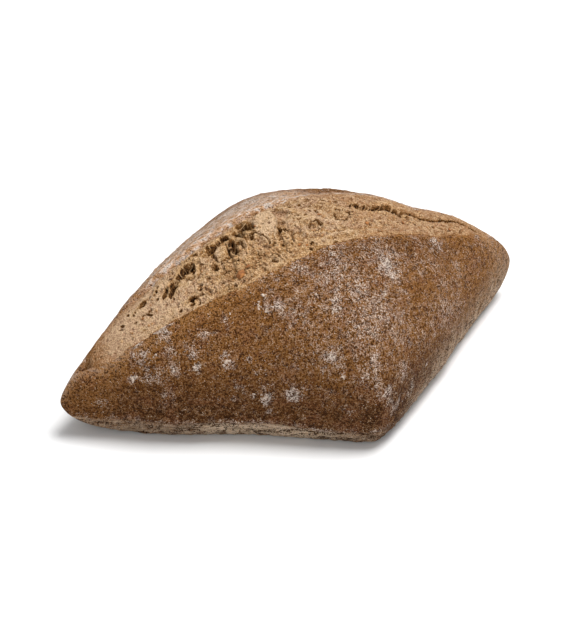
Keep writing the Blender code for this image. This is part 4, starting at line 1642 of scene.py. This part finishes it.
    def texture(self, bed: Bed, coarse: Array, fibrous: Array) -> tuple[Array, Array]:
        """The crumb's relief: swells, curled ridges in three sizes, small round holes and threads.

        A ridge stands where a wave crosses 0. The places are first drifted sideways, so that no
        ridge is straight.

        Args:
            bed: The smooth bed.
            coarse: How coarse the crumb is.
            fibrous: How much it is drawn out in threads across the slash.

        Returns:
            The relief in millimetres, and the painted shade of the small holes.
        """
        noise, base, edge = self.noise, bed.base, bed.edge
        drifted = base + 0.8 * noise.drift(base, 2.4) + 0.3 * noise.drift(base, 0.9)
        rough = (0.25 + 0.75 * coarse) * (0.4 + 0.6 * edge)
        relief = edge * coarse * noise.mixed(base, self.swells)
        for size, height in self.ridges:
            ridge = 0.25 - np.abs(noise.waves(drifted, size, 10 * size))
            there = smooth(noise.waves(base, 2.6 * size, -15 * size), -0.25, 0.35)
            relief += height * ridge * rough * (0.25 + 1.1 * there)
        holes = np.zeros(relief.shape)
        for cell, deep, share in self.holes:
            spot, _, kind = noise.cells(drifted + cell * 9, cell)
            few = share - 0.35 * coarse
            hole = smooth(0.34 - spot, 0, 0.12) * smooth(kind, few, few + 0.12)
            relief -= deep * hole * (0.45 + 0.55 * coarse) * edge
            holes = np.maximum(holes, hole * min(1, deep) * edge)
        relief += (1 - coarse) * 0.14 * noise.waves(base * (0.22, 1.3, 1.0), 1.2)
        threads = 0.5 - np.abs(noise.waves(drifted * (1.5, 0.38, 0.6), 1.3))
        return relief + edge * fibrous * 0.35 * threads, holes

    def threads(self, bed: Bed) -> tuple[Array, Array, Array]:
        """The fibres and mounds: their lift, the painted highlight on the fibres' crests, and their
        golden-brown sides, partly painted shade.
        """
        lift, crest, golden = (np.zeros(bed.x.shape) for _ in range(3))
        broken = smooth(self.noise.waves(bed.base, 2.4, 70), -0.1, 0.45)
        for fibre in self.fibres:
            gap, _ = line_distance(bed.bent_x, bed.bent_y, fibre.line)
            lift += fibre.height * hump(gap, 0, fibre.width)
            thin = broken * (fibre.width < 0.6)
            crest = np.maximum(crest, thin * np.exp(-((gap / (0.8 * fibre.width)) ** 4)))
            golden = np.maximum(golden, hump(gap, 1.5 * fibre.width, 0.6 * fibre.width))
        for mound in self.mounds:
            lift += mound.lift(bed.bent_x, bed.y)
        return lift * bed.edge, crest, golden

    def toast_and_shade_at(self, bed: Bed, coarse: Array, dark: Array, golden: Array) -> Array:
        """How toasted the crumb is: most at the front lip and on torn edges, with painted shade added
        round the caves and beside the fibres.

        Args:
            bed: The smooth bed.
            coarse: How coarse the crumb is.
            dark: The painted shade of the caves.
            golden: The fibres' golden sides.

        Returns:
            The toasting and painted shade, with the light and calm places below 0.
        """
        x, y = bed.x, bed.y
        toast_and_shade = -0.15 + 0.3 * (0.3 + 0.7 * coarse) + 0.6 * golden
        toast_and_shade += 0.55 * hump(np.maximum(bed.front_in, 0), 0, 2.2) * smooth(x, -60, -30)
        toast_and_shade += 0.65 * hump(x, -18, 9.5) * hump(y, -8.0, 4.0)
        toast_and_shade += 0.45 * hump(x, -3, 7.0) * hump(y, -10.0, 3.5)
        # Painted shade spread out from the caves.
        toast_and_shade += 3.5 * soften(np.maximum(dark, 0), (6, 4)) + 0.5 * smooth(-x, 50, 62)
        return toast_and_shade + 0.22 * hump(x, -20, 14) * smooth(y, -4, 2) - 0.12 * hump(x, 9, 14)

    def skin_at(self, bed: Bed) -> Array:
        """Where the crumb has a baked skin: at the back lip, at both tips and on the right."""
        x, back = bed.x, np.maximum(bed.back_in, 0)
        skin = hump(back, 0, 3.5) * (1 - 0.55 * smooth(x, -46, -32) - 0.45 * smooth(x, -8, 2))
        skin = np.maximum(skin + 0.5 * hump(back, 0, 1.5), smooth(-x, 56, 65))
        skin = skin + 0.5 * hump(bed.front_in, 0, 0.7)
        return np.maximum(skin, 0.6 * smooth(x, 2, 22)) + smooth(-x, 54, 62)

    def close(self, bed: Bed, points: Array, normals: Array) -> Array:
        """Carries each row on round its hidden side: down the back wall, across, and up the front.

        Args:
            bed: The smooth bed.
            points: The torn surface.
            normals: The bed's normals.

        Returns:
            The rows, each with four more points.
        """
        drop = np.minimum(self.underside, 0.5 * bed.width)[..., None]
        rims, facing = bed.base[:, [0, -1]], normals[:, [0, -1]]
        walls = rims - facing * self.wall_depth
        low = rims - facing * np.maximum(drop, self.least_drop)
        low[..., 1] += self.tuck_in * drop[..., 0] * (1, -1)
        return np.concatenate([points, walls[:, 1:], low[:, 1:], low[:, :1], walls[:, :1]], axis=1)

    def build(self) -> bpy.types.Object:
        """Builds the crumb: the bed, its relief, the values for its colours, and a closed back.

        Returns:
            The crumb piece.
        """
        bed = self.lay()
        base, x, y = bed.base, bed.x, bed.y
        normals = grid_normals(base)
        coarse, fibrous = self.roughness_at(bed)
        grain, holes = self.texture(bed, coarse, fibrous)
        depth, shift, dark = self.carve(bed)
        lift, crest, golden = self.threads(bed)

        worn = 1 - 0.75 * smooth(depth, 0.15, 1.0)
        relief = grain * worn + lift - self.sag * 4 * np.clip(bed.share * (1 - bed.share), 0, 1)
        relief -= self.step * bed.flap * hump(np.maximum(bed.back_in, 0), 0, 3.0)
        streaks = bed.flap * self.noise.waves(base * (0.22, 1.0, 1.0), 1.1, 5)
        relief += 0.35 * (1 - smooth(bed.back_in, 1, 5)) * streaks
        # Local height, which the material paints as light on rises and shade in hollows.
        local = (relief - soften(relief, (7, 4))) * worn
        relief -= depth + self.lip_dive * (1 - smooth(bed.inset, -self.overlap, 0.15))
        relief -= self.tip_dive * smooth(np.abs(x), self.tip_dive_start, self.reach)
        points = base + normals * relief[..., None]
        points[..., 1] += shift
        self.points, self.normals = points, normals

        # Painted highlight on the fibres' crests.
        dark = dark - 0.4 * crest * (dark <= 0)
        bulge = smooth(1 - self.calm[0].place(x, y)[0], -0.1, 0.3)
        raised = 0.28 * (hump(x, -1, 15) * (1 - smooth(y, 2, 7)) + hump(x, -44, 10))
        raised -= 0.2 * hump(x, 12, 16) * smooth(y, 2, 7)
        values = {
            # The stronger of the small holes' and the caves' painted shade.
            Patch.SHADE: np.where(0.4 * holes > np.abs(dark), 0.4 * holes, dark),
            Patch.TOAST_AND_SHADE: self.toast_and_shade_at(bed, coarse, dark, golden) - 0.8 * bulge,
            Patch.HEIGHT: np.clip(local / 0.35 + 1.3 * bulge + raised, -1, 1),
            Patch.SKIN: self.skin_at(bed),
        }

        ring = self.close(bed, points, normals)
        hidden = np.zeros((self.columns, 4))
        values = {k: np.concatenate([v, hidden], axis=1).ravel() for k, v in values.items()}
        return make_piece(
            "torn_crumb",
            np.concatenate([ring.reshape(-1, 3), ring[[0, -1]].mean(axis=1)]),
            tube_faces(*ring.shape[:2]),
            {k: np.concatenate([v, [0, 0]]) for k, v in values.items()},
            self.finish.material(),
        )


# Small things ------------------------------------------------------------------------------


def blob(rings: int = 1) -> tuple[Array, Array]:
    """An octahedron, each triangle of it split in four for each further ring, blown up round.

    Args:
        rings: 1 for the plain octahedron's 8 triangles, 2 for 32.

    Returns:
        Vertices at radius 1, and triangles that face outwards.
    """
    points = np.array([[1, 0, 0], [-1, 0, 0], [0, 1, 0], [0, -1, 0], [0, 0, 1], [0, 0, -1]], float)
    faces = np.array(
        [[0, 2, 4], [2, 1, 4], [1, 3, 4], [3, 0, 4], [2, 0, 5], [1, 2, 5], [3, 1, 5], [0, 3, 5]]
    )
    for _ in range(rings - 1):
        corners = points[faces]
        middles = (corners + np.roll(corners, -1, axis=1)) / 2
        count = len(faces)
        everything = np.concatenate([corners.reshape(-1, 3), middles.reshape(-1, 3)])
        a = np.arange(3 * count).reshape(count, 3)
        m = a + 3 * count
        split = [
            np.stack([a[:, 0], m[:, 0], m[:, 2]], 1),
            np.stack([m[:, 0], a[:, 1], m[:, 1]], 1),
            np.stack([m[:, 2], m[:, 1], a[:, 2]], 1),
            m,
        ]
        points, inverse = np.unique(everything.round(6), axis=0, return_inverse=True)
        faces = inverse.ravel()[np.concatenate(split)]
        points = points / np.linalg.norm(points, axis=1, keepdims=True)
    return points, faces


def scatter(
    places: Array, normals: Array, sizes: Array, flatness: float, rings: int, seed: int
) -> tuple[Array, Array]:
    """Irregular blobs, each turned at random and pressed flat against the surface.

    Args:
        places: The blobs' middles.
        normals: The surface's normals there.
        sizes: Their radii.
        flatness: Their thickness as a share of their width.
        rings: How finely each is made, as for blob.
        seed: Starts the random draws.

    Returns:
        All vertices, and all triangles.
    """
    random = np.random.default_rng(seed)
    shape, faces = blob(rings)
    count = len(places)
    side = np.cross(normals, random.normal(size=(count, 3)))
    side /= np.linalg.norm(side, axis=1, keepdims=True)
    other = np.cross(normals, side)
    stretch = random.uniform(0.7, 1.35, (count, 1, 3)) * (1, 1, flatness)
    lumps = 1 + random.uniform(-0.35, 0.35, (count, len(shape), 1))
    local = shape[None] * stretch * lumps * sizes[:, None, None]
    axes = np.stack([side, other, normals], axis=1)
    points = places[:, None, :] + np.einsum("nvi,nij->nvj", local, axes)
    index = faces[None] + len(shape) * np.arange(count)[:, None, None]
    return points.reshape(-1, 3), index.reshape(-1, 3)


def nearest_on(points: Array, normals: Array, wanted: Array) -> tuple[Array, Array]:
    """The grid's own places and normals that lie nearest to the wanted ones."""
    flat = points.reshape(-1, 3)
    index = np.array([((flat - place) ** 2).sum(axis=1).argmin() for place in wanted])
    return flat[index], normals.reshape(-1, 3)[index]


def choose(
    random: np.random.Generator, weight: Array, grid: tuple[Array, Array], count: int
) -> tuple[Array, Array]:
    """Draws places from a grid of points and normals, more of them where the weight is high."""
    chosen = random.choice(weight.size, count, p=(weight / weight.sum()).ravel())
    points, normals = (values.reshape(-1, 3)[chosen] for values in grid)
    return points, normals


def strewn(random: np.random.Generator, normals: Array, reach: Array) -> Array:
    """Random steps along the surface, about as long as reach."""
    steps = random.normal(size=normals.shape) * reach
    return steps - (steps * normals).sum(axis=1, keepdims=True) * normals


@dataclass
class FlourGrains:
    """Loose flour on the crust: thousands of tiny grains, and a few clumps, by the patches."""

    crust: Crust
    finish: DryFinish
    count: int = 13000
    size: tuple[float, float] = (0.04, 0.11)
    split: int = 7
    seed: int = 5
    clumps: tuple[tuple[float, float, float], ...] = (
        (-18.8, 61, 0.62), (-20.6, 59, 0.40), (-21.0, 57, 0.50), (-21.3, 55.5, 0.38),
        (-20.0, 54, 0.42), (-32.5, 30, 0.62), (-31.9, 31, 0.45), (-33.2, 29, 0.40),
        (-40.0, 30, 0.50), (-54.0, 32, 0.52), (-53.2, 33, 0.40), (-24.5, 8, 0.55),
        (-25.4, 7, 0.42), (-27.2, 10, 0.42), (-18.5, 13, 0.45), (-47.8, 46.5, 0.45),
        (21.0, 5, 0.40), (-7.4, 19.5, 0.52), (-28.5, 57, 0.30), (-7.0, 57, 0.35),
        (-3.2, 49, 0.40), (15.0, 60, 0.42), (37.0, 66, 0.42),
    )

    def build(self) -> bpy.types.Object:
        """Builds the grains, with more of them where the flour lies thicker.

        Returns:
            The flour piece.
        """
        random = np.random.default_rng(self.seed)
        crust, points = self.crust, self.crust.points
        across, along = np.gradient(points, axis=(0, 1))
        area = np.linalg.norm(np.cross(across, along), axis=-1)
        curls = hump(Noise(17).waves(points, 1.5), 0, 0.13) + 0.08
        weight = area * (0.02 + np.clip(crust.thickness, 0, 1.2) ** 1.3) * curls
        weight = weight * (points[..., 2] > 0.8) * (crust.thickness > 0)
        places, normals = choose(random, weight, (points, crust.normals), self.count)
        places = places + strewn(random, normals, 0.14) + normals * 0.02
        sizes = random.uniform(*self.size, self.count) * random.uniform(0.6, 1.3, self.count)
        small = scatter(places, normals, sizes, 0.55, 1, self.seed)

        x, angle, radii = np.array(self.clumps).T
        spots, facing = nearest_on(points, crust.normals, crust.form.place(x, angle))
        spots, facing, radii = (np.repeat(v, self.split, axis=0) for v in (spots, facing, radii))
        spots = spots + strewn(random, facing, 0.55 * radii[:, None])
        radii = radii * random.uniform(0.2, 0.65, len(radii))
        large = scatter(spots, facing, radii, 0.5, 2, self.seed + 1)
        return make_piece(
            "flour_grains",
            np.concatenate([small[0], large[0]]),
            [np.concatenate([small[1], large[1] + len(small[0])])],
            {},
            self.finish.material(),
        )


@dataclass
class CrumbBits:
    """Toasted nubs and torn bits that stand on the crumb, thickest in its roughest part."""

    crumb: Crumb
    finish: DryFinish
    count: int = 1500
    size: tuple[float, float] = (0.12, 0.42)
    seed: int = 8

    def build(self) -> bpy.types.Object:
        """Builds the bits.

        Returns:
            The piece that holds them all.
        """
        random = np.random.default_rng(self.seed)
        points = self.crumb.points
        x, y = points[..., 0], points[..., 1]
        weight = hump(x, -19, 10.0) * hump(y, -7.0, 4.5) + 0.02
        weight += 0.22 * hump(x, 20, 22.0) * hump(y, -1.0, 6.0)
        weight += 0.6 * hump(x, -4, 7.0) * hump(y, -9.0, 4.0)
        inner = np.linspace(0, 1, weight.shape[1])
        weight = weight * ((inner > 0.10) & (inner < 0.90)) * (np.abs(x) < 56)
        places, normals = choose(random, weight, (points, self.crumb.normals), self.count)
        low, high = self.size
        sizes = low + (high - low) * random.uniform(size=self.count) ** 2
        points, faces = scatter(places, normals, sizes, 0.8, 2, self.seed)
        return make_piece("crumb_bits", points, [faces], {}, self.finish.material())


@dataclass
class CrumbStrands:
    """Thin strands of crumb that still span the caves."""

    crumb: Crumb
    finish: DryFinish
    radius: tuple[float, float] = (0.06, 0.12)
    least_depth: float = 3.5
    steps: int = 18
    sides: int = 7
    seed: int = 21

    def routes(self) -> tuple[Array, Array]:
        """The two ends of each strand, on either side of a cave.

        Returns:
            The starts and the ends, as x and y.
        """
        random = np.random.default_rng(self.seed)
        starts, ends = [], []
        for cave in self.crumb.caves:
            if cave.depth < self.least_depth:
                continue
            count = int(1 + cave.length * cave.width / 14)
            turn = math.radians(cave.turn)
            angle = random.uniform(0, 2 * math.pi, count)
            across = angle + math.pi + random.uniform(-0.9, 0.9, count)
            for place, found in ((angle, starts), (across, ends)):
                u = 0.52 * cave.length * np.cos(place)
                v = 0.52 * cave.width * np.sin(place)
                x = cave.x + u * math.cos(turn) - v * math.sin(turn)
                y = cave.y + u * math.sin(turn) + v * math.cos(turn)
                found.append(np.stack([x, y], axis=-1))
        return np.concatenate(starts), np.concatenate(ends)

    def build(self) -> bpy.types.Object:
        """Builds the strands: each a tapered tube along a sagging, wavering arc.

        Returns:
            The piece that holds them all.
        """
        random = np.random.default_rng(self.seed + 1)
        start, end = self.routes()
        count = len(start)
        share = np.linspace(0, 1, self.steps)[None, :, None]
        flat = start[:, None] + share * (end - start)[:, None]
        flat = flat + random.normal(size=(count, 1, 2)) * 0.4 * np.sin(math.pi * share)
        arch = 4 * share[..., 0] * (1 - share[..., 0])
        sunk = random.uniform(0.3, 2.4, (count, 1))
        height = self.crumb.form.height_at(flat[..., 0], flat[..., 1]) - 0.7
        line = np.concatenate([flat, (height - sunk * (0.5 + 0.5 * arch))[..., None]], axis=-1)
        line += 0.2 * Noise(23).drift(line, 0.9)
        tangent = np.gradient(line, axis=1)
        tangent /= np.linalg.norm(tangent, axis=-1, keepdims=True)
        side = np.cross(tangent, (0, 0, 1.0))
        side /= np.maximum(np.linalg.norm(side, axis=-1, keepdims=True), 1e-6)
        up = np.cross(side, tangent)
        size = random.uniform(*self.radius, (count, 1)) * (1 + 1.8 * (1 - arch) ** 3)
        size = (size * (1 + 0.4 * Noise(27).waves(line, 0.5)))[..., None, None]
        angle = np.linspace(0, 2 * math.pi, self.sides, endpoint=False)[:, None]
        ring = line[:, :, None] + size * (
            np.cos(angle) * side[:, :, None] + np.sin(angle) * up[:, :, None]
        )
        body = self.steps * self.sides
        points = np.concatenate([ring.reshape(count, body, 3), line[:, [0, -1]]], axis=1)
        shift = (body + 2) * np.arange(count)[:, None, None]
        faces = [
            (block[None] + shift).reshape(-1, block.shape[1])
            for block in tube_faces(self.steps, self.sides)
        ]
        return make_piece(
            "crumb_strands", points.reshape(-1, 3), faces, {}, self.finish.material()
        )


@dataclass
class BranFlakes:
    """Flat chips of bran: one large orange-brown flake at the front lip, and small ones about."""

    crumb: Crumb
    finish: DryFinish
    flakes: tuple[tuple[float, float, float], ...] = (
        (-21.3, -9.9, 1.2), (-20.9, -9.3, 0.8), (-18.4, -8.8, 0.5), (-3.6, -9.4, 0.45),
        (-2.0, -11.0, 0.5), (19.0, -6.0, 0.6), (30.5, -5.6, 0.5), (46.0, -4.6, 0.45),
        (8.2, 1.0, 0.4), (-47.0, -3.4, 0.3), (-9.6, 4.4, 0.35),
    )

    def build(self) -> bpy.types.Object:
        """Builds the flakes, each set where the crumb's grid is nearest to its place.

        Returns:
            The piece that holds them all.
        """
        x, y, radii = np.array(self.flakes).T
        height = self.crumb.form.height_at(x, y)
        places, normals = nearest_on(
            self.crumb.points, self.crumb.normals, np.stack([x, y, height], axis=-1)
        )
        points, faces = scatter(places + normals * 0.2, normals, radii, 0.35, 3, 4)
        return make_piece("bran_flakes", points, [faces], {}, self.finish.material())


# The studio --------------------------------------------------------------------------------


@dataclass(frozen=True)
class Lamp:
    """A soft square light that looks at the roll."""

    name: str
    place: tuple[float, float, float]
    size: float
    watts: float
    colour: Colour = (1.0, 1.0, 1.0)


@dataclass(frozen=True)
class Studio:
    """A pale floor, soft lights, and the camera at the photograph's angle."""

    azimuth: float = -28.3
    elevation: float = 35.0
    distance: float = 0.7
    target: tuple[float, float, float] = (-0.00216, 0.00105, 0.015)
    focal: float = 2562.8
    picture_height: float = 630.0
    sensor: float = 36.0
    ambient: float = 0.35
    floor_radius: float = 3.0
    floor_drop: float = 0.0001
    floor_corners: int = 96
    floor_colour: Colour = (0.86, 0.86, 0.86)
    lamps: tuple[Lamp, ...] = (
        Lamp("overhead", (0.26, -0.04, 0.90), 0.45, 11.0),
        Lamp("front", (-0.45, -0.95, 0.45), 0.8, 3.2),
    )

    def build(self) -> None:
        """Makes the floor, the lights, the surroundings and the camera."""
        self.make_floor()
        for lamp in self.lamps:
            light = bpy.data.lights.new(lamp.name, "AREA")
            light.size, light.energy, light.color = lamp.size, lamp.watts, lamp.colour
            holder = show(lamp.name, light)
            holder.location = lamp.place
            aim = Vector(self.target) - Vector(lamp.place)
            holder.rotation_euler = aim.to_track_quat("-Z", "Y").to_euler()
        world = bpy.data.worlds.new("studio")
        world.use_nodes = True
        inputs = world.node_tree.nodes["Background"].inputs
        inputs["Color"].default_value = (1, 1, 1, 1)
        inputs["Strength"].default_value = self.ambient
        bpy.context.scene.world = world
        self.make_camera()
        bpy.context.scene.view_settings.view_transform = "Standard"

    def make_floor(self) -> None:
        """A wide pale disc just under the roll."""
        angle = np.linspace(0, 2 * math.pi, self.floor_corners, endpoint=False)
        across, along = self.floor_radius * np.cos(angle), self.floor_radius * np.sin(angle)
        rim = np.stack([across, along, 0 * angle - self.floor_drop], axis=-1)
        mesh = bpy.data.meshes.new("floor")
        mesh.from_pydata(rim.tolist(), [], [list(range(self.floor_corners))])
        material, sheet, shader = new_material("pale_floor")
        sheet.surface(shader, (*self.floor_colour, 1.0), 0.9)
        mesh.materials.append(material)
        show("floor", mesh)

    def make_camera(self) -> None:
        """The camera, on a sphere round its target."""
        azimuth, elevation = math.radians(self.azimuth), math.radians(self.elevation)
        level = math.cos(elevation)
        away = (math.sin(azimuth) * level, -math.cos(azimuth) * level, math.sin(elevation))
        away = Vector(away)
        lens = bpy.data.cameras.new("camera")
        lens.sensor_width = self.sensor
        lens.lens = self.focal * self.sensor / self.picture_height
        lens.clip_start, lens.clip_end = 0.01, 20.0
        camera = show("camera", lens)
        camera.location = Vector(self.target) + away * self.distance
        camera.rotation_euler = (-away).to_track_quat("-Z", "Y").to_euler()
        bpy.context.scene.camera = camera


def main() -> None:
    """Builds the roll and its studio, piece by piece."""
    logging.basicConfig(level=logging.INFO, format="%(name)s %(message)s")
    form = RollForm()
    crust = Crust(form, CrustFinish())
    crust.build()
    crumb = Crumb(form, CrumbFinish())
    crumb.build()
    strand = DryFinish("crumb_strand", (0.46, 0.29, 0.14), (0.24, 0.12, 0.045))
    CrumbStrands(crumb, strand).build()
    CrumbBits(crumb, DryFinish("toasted_bit", (0.50, 0.32, 0.16), (0.32, 0.155, 0.055), 0.7)).build()
    BranFlakes(crumb, DryFinish("bran", (0.36, 0.145, 0.038), (0.22, 0.080, 0.022), 0.8)).build()
    FlourGrains(crust, DryFinish("flour", (0.66, 0.54, 0.45), (0.42, 0.31, 0.23), 0.5)).build()
    Studio().build()


if __name__ == "__main__":
    main()
